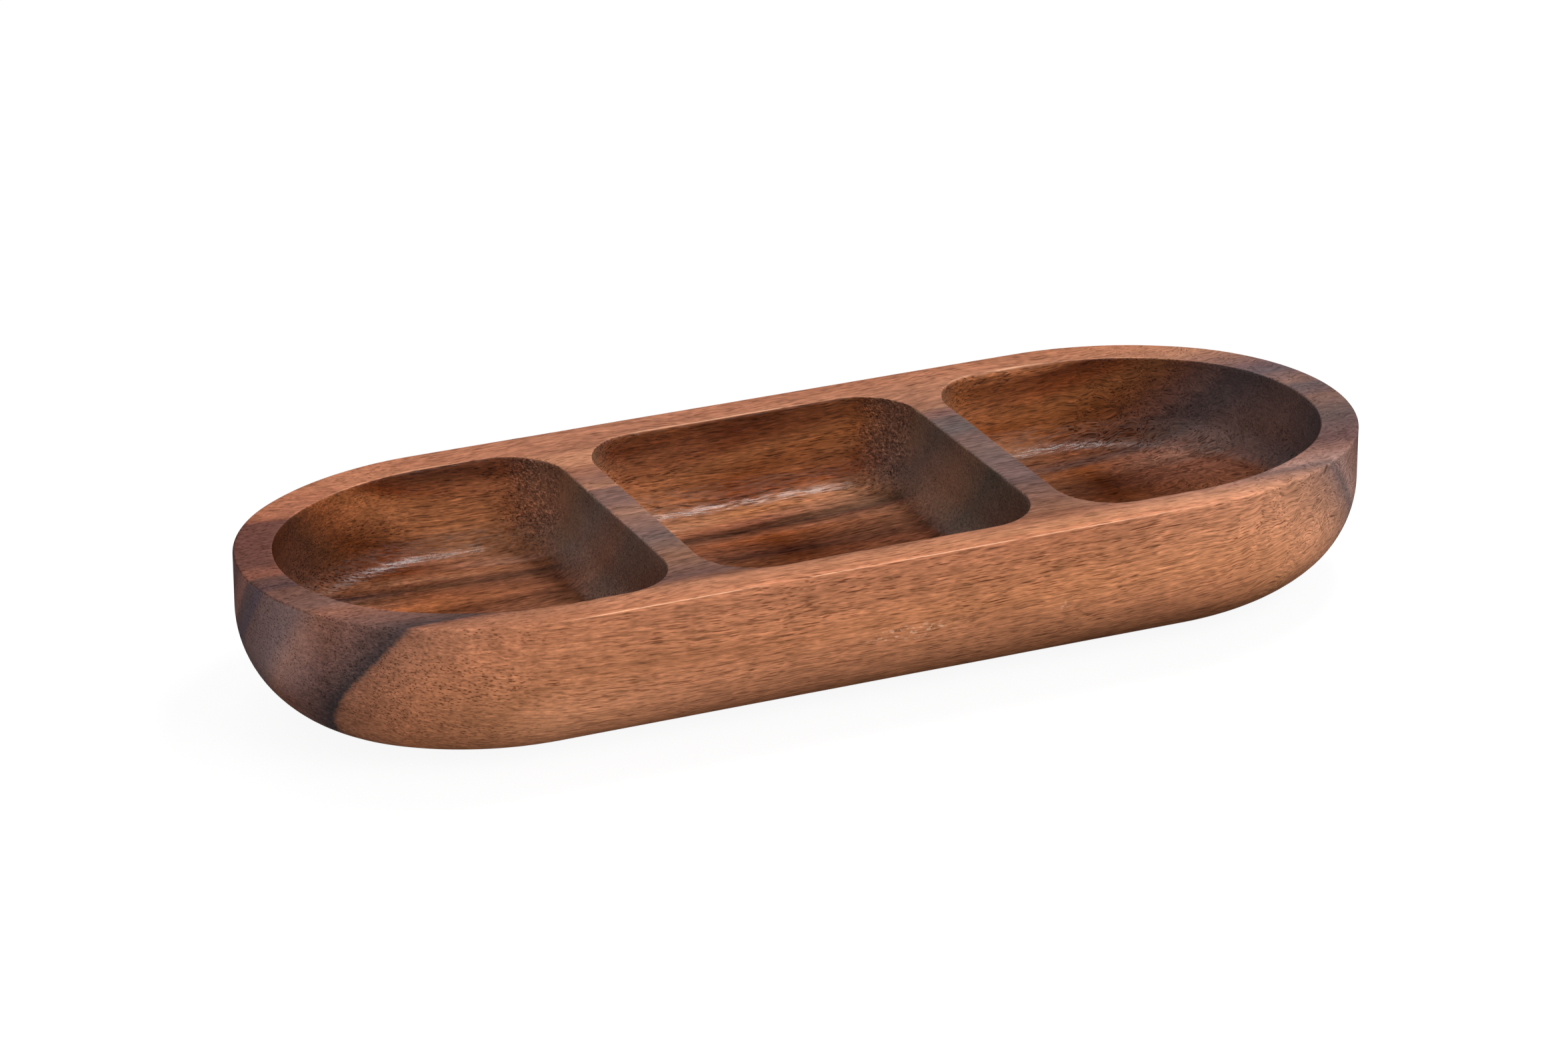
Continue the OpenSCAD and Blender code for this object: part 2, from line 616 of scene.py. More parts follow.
# The same for the oiled timber in the wells.
WELL_SECTIONS = (
    Section(-188.0, 42.5, (
        (-92.0, (0.20, 0.068, 0.03)), (-74.0, (0.13, 0.045, 0.021)),
        (-58.0, (0.21, 0.072, 0.032)), (-40.0, (0.15, 0.051, 0.023)),
        (-12.0, (0.23, 0.068, 0.024)), (-6.0, (0.49, 0.14, 0.052)),
        (0.0, (0.38, 0.12, 0.044)), (7.5, (0.086, 0.03, 0.015)),
        (12.0, (0.12, 0.042, 0.021)), (20.0, (0.026, 0.008, 0.003)),
        (46.0, (0.014, 0.004, 0.003)), (56.0, (0.42, 0.14, 0.052)),
        (64.0, (0.25, 0.076, 0.027)),
    )),
    Section(-160.0, 37.6, (
        (-92.0, (0.19, 0.064, 0.028)), (-74.0, (0.12, 0.042, 0.02)),
        (-58.0, (0.20, 0.068, 0.03)), (-40.0, (0.15, 0.051, 0.023)),
        (-16.0, (0.24, 0.07, 0.025)), (-12.0, (0.21, 0.062, 0.022)),
        (-6.0, (0.44, 0.13, 0.048)), (0.0, (0.31, 0.13, 0.073)),
        (4.5, (0.076, 0.036, 0.018)), (7.0, (0.14, 0.066, 0.045)),
        (9.5, (0.009, 0.006, 0.013)), (12.0, (0.19, 0.07, 0.034)),
        (20.0, (0.062, 0.015, 0.004)), (34.0, (0.063, 0.02, 0.006)),
        (52.0, (0.25, 0.071, 0.022)), (56.0, (0.21, 0.062, 0.018)),
        (64.0, (0.062, 0.018, 0.006)),
    )),
    Section(-128.0, 31.9, (
        (-92.0, (0.17, 0.058, 0.026)), (-74.0, (0.21, 0.072, 0.032)),
        (-58.0, (0.13, 0.045, 0.021)), (-16.0, (0.16, 0.053, 0.028)),
        (-12.0, (0.12, 0.037, 0.014)), (-6.0, (0.33, 0.11, 0.042)),
        (0.0, (0.20, 0.063, 0.027)), (7.0, (0.10, 0.04, 0.021)),
        (9.5, (0.14, 0.048, 0.024)), (12.0, (0.29, 0.12, 0.062)),
        (20.0, (0.14, 0.033, 0.009)), (34.0, (0.10, 0.025, 0.007)),
        (46.0, (0.37, 0.14, 0.057)), (52.0, (0.34, 0.12, 0.045)),
        (56.0, (0.16, 0.038, 0.011)), (64.0, (0.073, 0.027, 0.015)),
    )),
    Section(-66.0, 21.0, (
        (-92.0, (0.16, 0.055, 0.025)), (-74.0, (0.20, 0.068, 0.03)),
        (-58.0, (0.12, 0.042, 0.02)), (-40.0, (0.15, 0.051, 0.023)),
        (-16.0, (0.23, 0.093, 0.047)), (-12.0, (0.20, 0.079, 0.045)),
        (-9.0, (0.34, 0.13, 0.072)), (4.5, (0.13, 0.059, 0.037)),
        (7.0, (0.28, 0.11, 0.056)), (9.5, (0.23, 0.093, 0.046)), (12.0, (0.46, 0.24, 0.16)),
        (20.0, (0.47, 0.20, 0.086)), (46.0, (0.41, 0.16, 0.072)),
        (52.0, (0.14, 0.037, 0.014)), (58.0, (0.15, 0.049, 0.022)),
        (66.0, (0.13, 0.04, 0.016)),
    )),
    Section(0.0, 30.4, (
        (-92.0, (0.22, 0.074, 0.032)), (-74.0, (0.15, 0.052, 0.024)),
        (-58.0, (0.19, 0.064, 0.028)), (-40.0, (0.15, 0.051, 0.023)),
        (-16.0, (0.074, 0.019, 0.006)), (-12.0, (0.035, 0.01, 0.006)),
        (-4.0, (0.10, 0.025, 0.007)), (0.0, (0.20, 0.052, 0.016)),
        (3.0, (0.16, 0.052, 0.024)), (6.0, (0.056, 0.021, 0.012)),
        (9.0, (0.066, 0.021, 0.01)), (12.0, (0.25, 0.088, 0.049)),
        (20.0, (0.38, 0.15, 0.061)), (28.0, (0.15, 0.035, 0.01)),
        (38.0, (0.19, 0.052, 0.015)), (46.0, (0.32, 0.12, 0.047)),
        (52.0, (0.18, 0.051, 0.019)), (58.0, (0.089, 0.022, 0.009)),
        (66.0, (0.15, 0.05, 0.018)),
    )),
    Section(66.0, 39.5, (
        (-92.0, (0.20, 0.068, 0.03)), (-74.0, (0.14, 0.048, 0.022)),
        (-58.0, (0.18, 0.061, 0.027)), (-40.0, (0.15, 0.051, 0.023)),
        (-16.0, (0.16, 0.057, 0.031)), (5.0, (0.29, 0.13, 0.073)),
        (8.0, (0.26, 0.11, 0.068)), (10.5, (0.12, 0.065, 0.043)),
        (22.0, (0.49, 0.24, 0.13)), (34.0, (0.24, 0.06, 0.017)), (46.0, (0.34, 0.14, 0.06)),
        (52.0, (0.33, 0.11, 0.036)), (58.0, (0.13, 0.039, 0.013)),
        (66.0, (0.12, 0.045, 0.018)),
    )),
    Section(125.0, 45.1, (
        (-92.0, (0.15, 0.052, 0.024)), (-74.0, (0.19, 0.064, 0.028)),
        (-58.0, (0.12, 0.042, 0.02)), (-40.0, (0.15, 0.051, 0.023)),
        (-14.0, (0.062, 0.015, 0.004)), (-8.0, (0.034, 0.008, 0.003)),
        (-2.0, (0.042, 0.01, 0.003)), (8.0, (0.16, 0.045, 0.014)),
        (12.0, (0.071, 0.035, 0.027)), (18.0, (0.17, 0.058, 0.027)),
        (26.0, (0.10, 0.025, 0.007)), (34.0, (0.18, 0.054, 0.015)),
        (46.0, (0.31, 0.11, 0.038)), (52.0, (0.21, 0.055, 0.017)),
        (58.0, (0.09, 0.022, 0.008)), (66.0, (0.60, 0.22, 0.09)),
    )),
    Section(188.0, 51.0, (
        (-92.0, (0.14, 0.048, 0.022)), (-74.0, (0.18, 0.061, 0.027)),
        (-58.0, (0.13, 0.045, 0.021)), (-40.0, (0.15, 0.051, 0.023)),
        (-12.0, (0.20, 0.074, 0.042)), (0.0, (0.26, 0.10, 0.062)),
        (4.0, (0.19, 0.095, 0.07)), (9.0, (0.29, 0.15, 0.11)), (14.0, (0.27, 0.14, 0.11)),
        (22.0, (0.004, 0.003, 0.003)), (29.0, (0.004, 0.003, 0.003)),
        (34.0, (0.17, 0.069, 0.042)), (46.0, (0.065, 0.016, 0.006)),
        (56.0, (0.003, 0.003, 0.003)), (66.0, (0.022, 0.015, 0.008)),
    )),
)


# The same for the oiled ends of the fibres; their greyer bands hold a painted sheen.
CUT_SECTIONS = (
    Section(-186.0, 42.5, (
        (-40.0, (0.13, 0.05, 0.025)), (-18.0, (0.15, 0.055, 0.025)),
        (-8.0, (0.20, 0.07, 0.03)), (2.0, (0.20, 0.07, 0.03)), (10.0, (0.12, 0.045, 0.022)),
        (22.0, (0.085, 0.024, 0.009)), (36.0, (0.12, 0.029, 0.008)),
        (48.0, (0.09, 0.022, 0.006)), (70.0, (0.20, 0.07, 0.03)),
    )),
    Section(-72.0, 21.8, (
        (-40.0, (0.35, 0.20, 0.15)), (-18.0, (0.29, 0.20, 0.16)),
        (-8.0, (0.39, 0.22, 0.16)), (10.0, (0.34, 0.25, 0.21)), (22.0, (0.35, 0.23, 0.17)),
        (36.0, (0.53, 0.28, 0.17)), (48.0, (0.47, 0.24, 0.14)), (70.0, (0.22, 0.10, 0.063)),
    )),
    Section(60.0, 38.8, (
        (-40.0, (0.27, 0.17, 0.13)), (-18.0, (0.20, 0.16, 0.13)),
        (-8.0, (0.34, 0.21, 0.15)), (2.0, (0.40, 0.23, 0.16)), (22.0, (0.26, 0.19, 0.16)),
        (36.0, (0.36, 0.22, 0.15)), (48.0, (0.36, 0.18, 0.11)),
        (70.0, (0.064, 0.025, 0.014)),
    )),
    Section(170.0, 49.4, (
        (-40.0, (0.088, 0.054, 0.042)), (-18.0, (0.17, 0.13, 0.13)),
        (2.0, (0.29, 0.19, 0.17)), (22.0, (0.18, 0.14, 0.14)), (36.0, (0.17, 0.12, 0.12)),
        (48.0, (0.17, 0.082, 0.051)), (70.0, (0.15, 0.071, 0.043)),
    )),
)


@dataclass(frozen=True)
class Mark:
    """One kind of mark that the fibres leave in the timber's colour.

    Attributes:
        cell: How long, wide and deep a mark is, in millimetres.
        shade: What the marks darken and lighten the colour by, as powers.
        detail: How many finer sizes of mark lie in it.
        roughness: How strongly those show.
        span: The part of the noise that the shades are spread over.
    """

    cell: tuple[float, float, float]
    shade: Span
    detail: float = 2.0
    roughness: float = 0.5
    span: Span = NOISE_SPAN

    def drawn(self, w: Wiring, grain: Socket) -> Socket:
        """The shade that the marks give at each place."""
        noise = w.marks(grain, self.cell, self.detail, self.roughness)
        return w.linear(noise, self.span, self.shade)


LINES = Mark((70.0, 2.2, 1.2), (-0.22, 0.22), 4.0, 0.65)
STREAKS = Mark((150.0, 7.0, 5.0), (-0.09, 0.09), roughness=0.55)
FINE = Mark((9.0, 1.2, 0.6), (-0.18, 0.18), roughness=0.6)
FIGURE = Mark((7.0, 22.0, 22.0), (-0.08, 0.08))
GRIT = Mark((3.4, 0.75, 0.5), (-0.19, 0.19), 1.0)
FLECKS = Mark((2.4, 1.2, 0.8), (-0.32, 0.05), 1.0, span=(0.26, 0.50))
DASHES = Mark((7.0, 1.0, 0.55), (-0.40, 0.06), 1.0, span=(0.28, 0.46))


@dataclass(frozen=True)
class Timber:
    """How the growth layers lie in the block the board was cut from.

    A layer's number is a distance in millimetres along the layers' normal,
    lessened by their bow, and then slid near the back seam so that the seam
    has one number all along the board.

    Attributes:
        normal: The layers' normal, as its shares of Y and Z.
        along: The way along a layer, as its shares of Y and Z.
        bow: How much the layers bow, per millimetre.
        bow_middle: Where along a layer the bow has its crest.
        rim_height: How high the rim lies.
        seam_mark: Where across the rim the seam is slid to.
        slide: The layers over which the slide sets in.
        reach: The first and the last layer.
        wander: How far the layers wander, in millimetres.
        wander_size: How far apart the wanderings lie.
        flow: How far the fibres wander slowly, along X, Y and Z.
        flow_size: How far apart those wanderings lie.
        curl: How far the fibres curl quickly, along X, Y and Z.
        curl_size: How far apart the curls lie.
        curly: Where along the board the curls grow.
        curl_growth: How many times they grow there, from first to last.
        dive: Where along the board the fibres stop diving into the surface.
        sag: How much the fibres sag towards the board's ends, per
            millimetre.
        sag_middle: Where along the board they are level.
        jitter: How far the fibres' lines break up the layers.
        sections: The sections that the slide is read from.
    """

    normal: tuple[float, float] = (0.83, 0.56)
    along: tuple[float, float] = (0.56, -0.83)
    bow: float = 0.0027
    bow_middle: float = -52.0
    rim_height: float = 56.0
    seam_mark: float = 40.0
    slide: Span = (24.0, 46.0)
    reach: Span = (-70.0, 96.0)
    wander: float = 0.8
    wander_size: float = 60.0
    flow: tuple[float, float, float] = (0.0, 8.0, 2.5)
    flow_size: float = 95.0
    curl: tuple[float, float, float] = (0.0, 0.5, 0.5)
    curl_size: float = 11.0
    curly: Span = (105.0, 165.0)
    curl_growth: Span = (1.0, 9.0)
    dive: Span = (-150.0, -95.0)
    sag: float = 0.00026
    sag_middle: float = 20.0
    jitter: Span = (-0.005, 0.005)
    sections: tuple[Section, ...] = SECTIONS

    def raw(self, across: float) -> float:
        """The layer met at a place across the rim, before the slide.

        Args:
            across: The place, in millimetres from the board's middle.

        Returns:
            The layer, in millimetres.
        """
        out = self.normal[0] * across + self.normal[1] * self.rim_height
        side = self.along[0] * across + self.along[1] * self.rim_height
        return out - self.bow * (side - self.bow_middle) ** 2

    def shift(self, section: Section) -> float:
        """How far the seam slides at a section."""
        return self.raw(self.seam_mark) - self.raw(section.seam)

    def number(self, across: float, section: Section) -> float:
        """A layer's number at a place across the rim, from 0 to 1.

        Args:
            across: The place, in millimetres from the board's middle.
            section: The section it is at.

        Returns:
            The place of that layer in the colour ramps.
        """
        raw = self.raw(across)
        low, high = self.slide
        share = min(max((raw - low) / (high - low), 0.0), 1.0)
        slid = raw + self.shift(section) * share * share * (3 - 2 * share)
        return (slid - self.reach[0]) / (self.reach[1] - self.reach[0])

    def layers(self) -> bpy.types.NodeTree:
        """The group that finds the layer, the fibres and the place along.

        Returns:
            A group that puts out Layer, from 0 to 1, Grain, the fibres'
            own coordinates in millimetres, Along, the place along the
            board in millimetres, and Dive, how far the fibres run into the
            surface, from 0 to 1.
        """
        outputs = {"Layer": "Float", "Grain": "Vector", "Along": "Float"}
        outputs |= {"Dive": "Float"}
        group, w, _, out = new_group("timber layers", {}, outputs)
        at = w.place()
        drift = w.drift(at, self.wander_size, (self.wander,) * 3, 2.0, 0.5)
        bent = w.vector("ADD", at, drift)
        x = w.split(bent)[0]
        raw = w.vector("DOT_PRODUCT", bent, (0.0, *self.normal))
        side = w.vector("DOT_PRODUCT", bent, (0.0, *self.along))
        side = w.sums("SUBTRACT", side, self.bow_middle)
        squared = w.sums("MULTIPLY", side, side)
        raw = w.sums("SUBTRACT", raw, w.sums("MULTIPLY", squared, self.bow))
        slide: Plug = self.shift(self.sections[0])
        for near, far in zip(self.sections, self.sections[1:]):
            share = w.linear(x, (near.place, far.place))
            rise = self.shift(far) - self.shift(near)
            slide = w.sums("ADD", slide, w.sums("MULTIPLY", share, rise))
        slid = w.sums("ADD", raw, w.sums("MULTIPLY", slide, w.remap(raw, self.slide)))
        w.feed(out["Layer"], w.linear(slid, self.reach))
        w.feed(out["Along"], x)
        w.feed(out["Dive"], w.remap(x, self.dive, (1.0, 0.0)))
        flow = w.drift(at, self.flow_size, self.flow, 1.0, 0.4)
        curl = w.drift(at, self.curl_size, self.curl, 1.0, 0.5)
        curl = w.scaled(curl, w.remap(x, self.curly, self.curl_growth))
        grain = w.vector("ADD", w.vector("ADD", at, flow), curl)
        along = w.sums("SUBTRACT", x, self.sag_middle)
        sag = w.sums("MULTIPLY", w.sums("MULTIPLY", along, along), self.sag)
        rise = w.joined(0.0, 0.0, sag)
        w.feed(out["Grain"], w.vector("SUBTRACT", grain, rise))
        return group

    def colour(self, name: str, sections: tuple[Section, ...]) -> bpy.types.NodeTree:
        """The group that gives the timber's colour.

        Args:
            name: The group's name.
            sections: The colours at each place along the board.

        Returns:
            A group that takes what the layers group puts out and gives
            Color, with the fine lines of the fibres in it.
        """
        inputs: dict[str, Plug] = {"Layer": 0.5, "Grain": (0.0, 0.0, 0.0)}
        inputs |= {"Along": 0.0, "Dive": 0.0, "Contrast": 1.0}
        group, w, into, out = new_group(name, inputs, {"Color": "Color"})
        grain, dive = into["Grain"], into["Dive"]
        lines = w.marks(grain, LINES.cell, LINES.detail, LINES.roughness)
        jitter = w.linear(lines, LINES.span, self.jitter)
        layer = w.sums("ADD", into["Layer"], jitter)
        tint = self.ramp(w, sections[0], layer)
        for near, far in zip(sections, sections[1:]):
            share = w.linear(into["Along"], (near.place, far.place))
            tint = w.mixed(share, tint, self.ramp(w, far, layer))
        shade = w.linear(lines, LINES.span, LINES.shade)
        for mark in (STREAKS, FINE, FIGURE, GRIT):
            shade = w.sums("ADD", shade, mark.drawn(w, grain))
        level = w.sums("SUBTRACT", 1.0, dive)
        for mark, share in ((FLECKS, dive), (DASHES, level)):
            part = w.sums("MULTIPLY", mark.drawn(w, grain), share)
            shade = w.sums("ADD", shade, part)
        shade = w.sums("MULTIPLY", shade, into["Contrast"])
        w.feed(out["Color"], w.scaled(tint, w.sums("POWER", GROWTH, shade)))
        return group

    def ramp(self, w: Wiring, section: Section, layer: Socket) -> Socket:
        """A section's bands as a colour ramp, read at a layer.

        Args:
            w: The tree's wiring.
            section: The section.
            layer: The layer's number.

        Returns:
            The colour there.
        """
        node = w.add("ShaderNodeValToRGB")
        w.feed(node.inputs[0], layer)
        stops = node.color_ramp.elements
        for k, (across, shade) in enumerate(section.bands):
            place = self.number(across, section)
            if k >= 2:
                stops.new(place)
            stops[k].position = place
            stops[k].color = (*shade, 1.0)
        return node.outputs[0]


# How much of a pore's reach is its dark core.
PORE_CORE = 0.45
# The length and width of three kinds of pores, in millimetres, and how far
# each reaches as a share of its cell.
PORE_DOTS = (2.6, 0.85, 0.33)
PORE_DASHES = (9.0, 0.66, 0.30)
PORE_LINES = (26.0, 0.95, 0.26)


def pore_group() -> bpy.types.NodeTree:
    """The group that draws the open pores, dashes along the fibres.

    Returns:
        A group with Grain, Length, Width and Reach in, and Mask out.
    """
    inputs: dict[str, Plug] = {"Grain": (0.0, 0.0, 0.0)}
    inputs |= dict(zip(("Length", "Width", "Reach"), PORE_DASHES))
    group, w, into, out = new_group("open pores", inputs, {"Mask": "Float"})
    cell = w.joined(into["Length"], into["Width"], into["Width"])
    cells = w.vector("DIVIDE", into["Grain"], cell)
    node = w.add("ShaderNodeTexVoronoi", feature="F1", distance="EUCLIDEAN")
    w.feed(node.inputs["Vector"], cells)
    node.inputs["Scale"].default_value = 1.0
    core = w.sums("MULTIPLY", into["Reach"], PORE_CORE)
    away = node.outputs["Distance"]
    w.feed(out["Mask"], w.remap(away, (into["Reach"], core)))
    return group


@dataclass(frozen=True)
class EndGrain:
    """Where the fibres are cut across, and where the cutter tore them.

    Attributes:
        end: How far a face looks along the board where its ends set in.
        tip: The same for the faces that look straight along it.
        ragged_size: How far apart the ragged bits of a torn place lie.
        ragged: How far they break up its edge.
        torn: The torn values that count.
        chip_size: How far apart the torn fibres stand.
    """

    end: Span = (0.30, 0.95)
    tip: Span = (0.80, 0.99)
    ragged_size: float = 5.0
    ragged: Span = (-0.4, 0.4)
    torn: Span = (0.20, 1.10)
    chip_size: float = 1.15

    def group(self) -> bpy.types.NodeTree:
        """The group that finds the cut ends of the fibres.

        Returns:
            A group whose End mask is 1 where a face looks along the board
            and whose Tip mask is 1 only where it looks straight along it.
            Torn is 1 where the cutter ran against slanting fibres, and Chips
            goes up and down there by up to a half. Up is 1 where a face
            looks up, and Height is in millimetres.
        """
        kinds = ("End", "Tip", "Torn", "Chips", "Up", "Height")
        outputs = dict.fromkeys(kinds, "Float")
        group, w, _, out = new_group("end grain", {}, outputs)
        normal = w.split(w.add("ShaderNodeNewGeometry").outputs["Normal"])
        along = w.sums("ABSOLUTE", normal[0])
        w.feed(out["Up"], normal[2])
        w.feed(out["End"], w.remap(along, self.end))
        w.feed(out["Tip"], w.remap(along, self.tip))
        place = w.place()
        w.feed(out["Height"], w.split(place)[2])
        ragged = w.noise(place, 1 / self.ragged_size, 3.0, 0.6).outputs[0]
        ragged = w.linear(ragged, (0.3, 0.7), self.ragged)
        torn = w.remap(w.sums("ADD", w.mark("carved"), ragged), self.torn)
        w.feed(out["Torn"], torn)
        chips = w.noise(place, 1 / self.chip_size, 2.0, 0.75).outputs[0]
        chips = w.sums("SUBTRACT", chips, 0.5)
        w.feed(out["Chips"], w.sums("MULTIPLY", chips, torn))
        return group


@dataclass(frozen=True)
class WearAndHighlight:
    """Where use has worn the surface, and the painted highlight on worn edges.

    Attributes:
        scuffs: The middle and the reach of each scuffed place, in
            millimetres.
        core: How much of a scuffed place is scuffed fully, and how much at
            all, as shares of its reach.
        speck_size: The size of a scuff's specks, in millimetres.
        specks: The part of the noise that makes a speck.
        gap_size: The size of the gaps along a worn edge, in millimetres.
        gaps: The part of the noise that makes a gap.
        gap_share: How much of the worn and highlighted line a gap and the rest
            of the edge show.
        crest: How sharply that line keeps to an edge's crest.
    """

    scuffs: tuple[tuple[Rgb, Rgb], ...]
    core: Span = (0.3, 1.0)
    speck_size: tuple[float, float, float] = (2.2, 1.2, 1.2)
    specks: Span = (0.54, 0.66)
    gap_size: tuple[float, float, float] = (22.0, 30.0, 30.0)
    gaps: Span = (0.34, 0.56)
    gap_share: Span = (0.1, 1.0)
    crest: float = 1.5

    def group(self) -> bpy.types.NodeTree:
        """The group that finds worn places and the painted highlight on edges.

        Returns:
            A group whose Mask is 1 on the crest of an edge, with gaps, and
            whose Scuff is 1 on the specks of a scuffed place.
        """
        outputs = {"Mask": "Float", "Scuff": "Float"}
        group, w, into, out = new_group("wear", {"Grain": (0.0, 0.0, 0.0)}, outputs)
        at = w.place()
        found: Plug = 0.0
        for middle, reach in self.scuffs:
            away = w.vector("DIVIDE", w.vector("SUBTRACT", at, middle), reach)
            near = w.remap(w.vector("LENGTH", away), self.core, (1.0, 0.0))
            found = w.sums("MAXIMUM", found, near)
        specks = w.remap(w.marks(at, self.speck_size, 2.0, 0.6), self.specks)
        w.feed(out["Scuff"], w.sums("MULTIPLY", found, specks))
        gaps = w.marks(into["Grain"], self.gap_size, 3.0, 0.6)
        gaps = w.remap(gaps, self.gaps, self.gap_share)
        # Worn edges, with the painted highlight along their crest.
        worn = w.sums("POWER", w.mark("arris"), self.crest)
        w.feed(out["Mask"], w.sums("MULTIPLY", worn, gaps))
        return group


SCUFFS = (
    ((4.0, -74.0, 29.0), (26.0, 14.0, 4.5)),
    ((60.0, -74.0, 29.0), (5.0, 14.0, 4.0)),
)


@dataclass
class TimberGroups:
    """The node groups that all the board's finishes share.

    Attributes:
        timber: How the growth layers lie.
    """

    timber: Timber = field(default_factory=Timber)

    def __post_init__(self) -> None:
        """Builds each group once."""
        self.layers = self.timber.layers()
        self.dry = self.timber.colour("dry timber", SECTIONS)
        self.wet = self.timber.colour("oiled timber", WELL_SECTIONS)
        self.cut = self.timber.colour("oiled cut timber", CUT_SECTIONS)
        self.pores = pore_group()
        self.ends = EndGrain().group()
        self.wear = WearAndHighlight(SCUFFS).group()

    @staticmethod
    def placed(w: Wiring, group: bpy.types.NodeTree) -> bpy.types.Node:
        """Places a group in a tree."""
        return w.add("ShaderNodeGroup", node_tree=group)


@dataclass(frozen=True)
class Finish:
    """One finish on the timber.

    Attributes:
        name: The material's name.
        oiled: Whether the timber's colours are the oiled ones.
        tone: What the finish multiplies them by.
        end_sheen_tone: What it multiplies the ends of the fibres by, unless they
        are oiled and have colours of their own: a painted sheen that lightens
        and greys the board's tips.
        pore_tone: What the open pores are darkened to.
        pore_bump: How deep the pores stand in the bump, in metres.
        torn_bump: How deep torn fibres stand in the bump, in metres.
        torn_tone: What torn fibres multiply the colour by.
        torn_colour_and_shade: How strongly torn fibres lighten and darken it, partly
        their own colour and partly painted shade in the pits and painted glints
        on the ridges.
        fibre_bump: How deep the fine fibres stand in the bump, in metres.
        fibre_size: How long, wide and deep those fibres are.
        gloss: Roughness on closed timber and in the open pores.
        contrast: How strongly the fibres' lines show.
        end_contrast: The share of that on the cut ends of the fibres.
        patch_size: How long, wide and deep the patches rich in pores are.
        patches: The part of the noise that such patches lie in.
        patch_share: How much the pores show outside and inside them.
        edge_wear_and_highlight_tone: The colour of a worn edge with its painted highlight,
            and of scuffs.
        edge_wear_and_highlight_share: How strongly the worn edge and its painted highlight
            show.
        scuff_share: How strongly scuffs show.
        foot_light_and_shade: Painted light and shade at the foot: what the timber near the
            foot is multiplied by, at the left end and at the right.
        foot_shade_along: Where along the board those two hold.
        foot_shade_height: The heights between which that painted light and shade fades
            out.
        lip_shade: Painted shade under the lip: what oiled ends of fibres near the
            lip are darkened to.
        lip_shade_height: The heights between which that painted shade sets in.
        specular: How much of the light the bare timber mirrors.
        film: How much oil lies on it, none on the ends and in the pores.
        film_gloss: The oil's roughness.
        thin_size: How long, wide and deep the oil's thin places are.
        thin: The part of the noise that those lie in.
        thin_share: How much the oil thins there.
        dry_share: What is left of the film where it is thinnest.
        floor: How squarely a face looks up where it is wiped dry.
        floor_share: How much of the film such a face keeps.
    """

    name: str
    oiled: bool = False
    tone: Rgb = (1.0, 1.0, 1.0)
    end_sheen_tone: Rgb = (1.70, 2.10, 2.40)
    pore_tone: Rgb = (0.43, 0.34, 0.30)
    pore_bump: float = 0.00010
    torn_bump: float = 0.0
    torn_tone: Rgb = (0.94, 0.90, 0.94)
    torn_colour_and_shade: float = 4.3
    fibre_bump: float = 0.00003
    fibre_size: tuple[float, float, float] = (2.4, 0.8, 0.8)
    gloss: Span = (0.52, 0.80)
    contrast: float = 0.6
    end_contrast: float = 0.5
    patch_size: tuple[float, float, float] = (45.0, 12.0, 12.0)
    patches: Span = (0.36, 0.60)
    patch_share: Span = (0.35, 1.0)
    edge_wear_and_highlight_tone: Rgb = (0.85, 0.50, 0.33)
    edge_wear_and_highlight_share: float = 0.0
    scuff_share: float = 0.0
    foot_light_and_shade: Span | None = None
    foot_shade_along: Span = (-150.0, 110.0)
    foot_shade_height: Span = (7.0, 26.0)
    lip_shade: float = 0.57
    lip_shade_height: Span = (36.0, 54.0)
    specular: float = 0.005
    film: float = 0.0
    film_gloss: float = 0.34
    thin_size: tuple[float, float, float] = (9.0, 0.7, 0.7)
    thin: Span = (0.42, 0.60)
    thin_share: Span = (0.0, 0.85)
    dry_share: float = 0.1
    floor: Span = (0.92, 0.995)
    floor_share: float = 0.08

    def material(self, groups: TimberGroups) -> bpy.types.Material:
        """The finish as a material.

        Args:
            groups: The shared timber groups.

        Returns:
            The material.
        """
        made = bpy.data.materials.new(self.name)
        made.use_nodes = True
        w = Wiring(made.node_tree)
        shader = made.node_tree.nodes["Principled BSDF"]
        layers = groups.placed(w, groups.layers)
        ends = groups.placed(w, groups.ends)
        grain = layers.outputs["Grain"]
        pores = self._open(w, groups, layers)
        tint = self._bare(w, groups, layers, ends)
        tint = w.mixed(pores, tint, w.mixed(1.0, tint, self.pore_tone, "MULTIPLY"))
        tint = self._used(w, groups, layers, ends, tint)
        w.feed(shader.inputs["Base Color"], tint)
        w.feed(shader.inputs["Roughness"], w.linear(pores, (0.0, 1.0), self.gloss))
        shader.inputs["Specular IOR Level"].default_value = self.specular
        relief = self._relief(w, grain, pores, ends)
        w.feed(shader.inputs["Normal"], relief)
        if self.film:
            w.feed(shader.inputs["Coat Weight"], self._oil(w, grain, pores, ends))
            shader.inputs["Coat Roughness"].default_value = self.film_gloss
            w.feed(shader.inputs["Coat Normal"], relief)
        return made

    def _bare(
        self,
        w: Wiring,
        groups: TimberGroups,
        layers: bpy.types.Node,
        ends: bpy.types.Node,
    ) -> Socket:
        """The colour of closed timber, with its cut and torn ends.

        Args:
            w: The material's wiring.
            groups: The shared timber groups.
            layers: The node that finds the layers and the fibres.
            ends: The node that finds the cut ends of the fibres.

        Returns:
            The colour.
        """
        timber = groups.wet if self.oiled else groups.dry
        tint = self._timber(w, timber, layers, 1.0)
        tint = w.mixed(1.0, tint, self.tone, "MULTIPLY")
        if self.oiled:
            cut = self._timber(w, groups.cut, layers, self.end_contrast)
            height = ends.outputs["Height"]
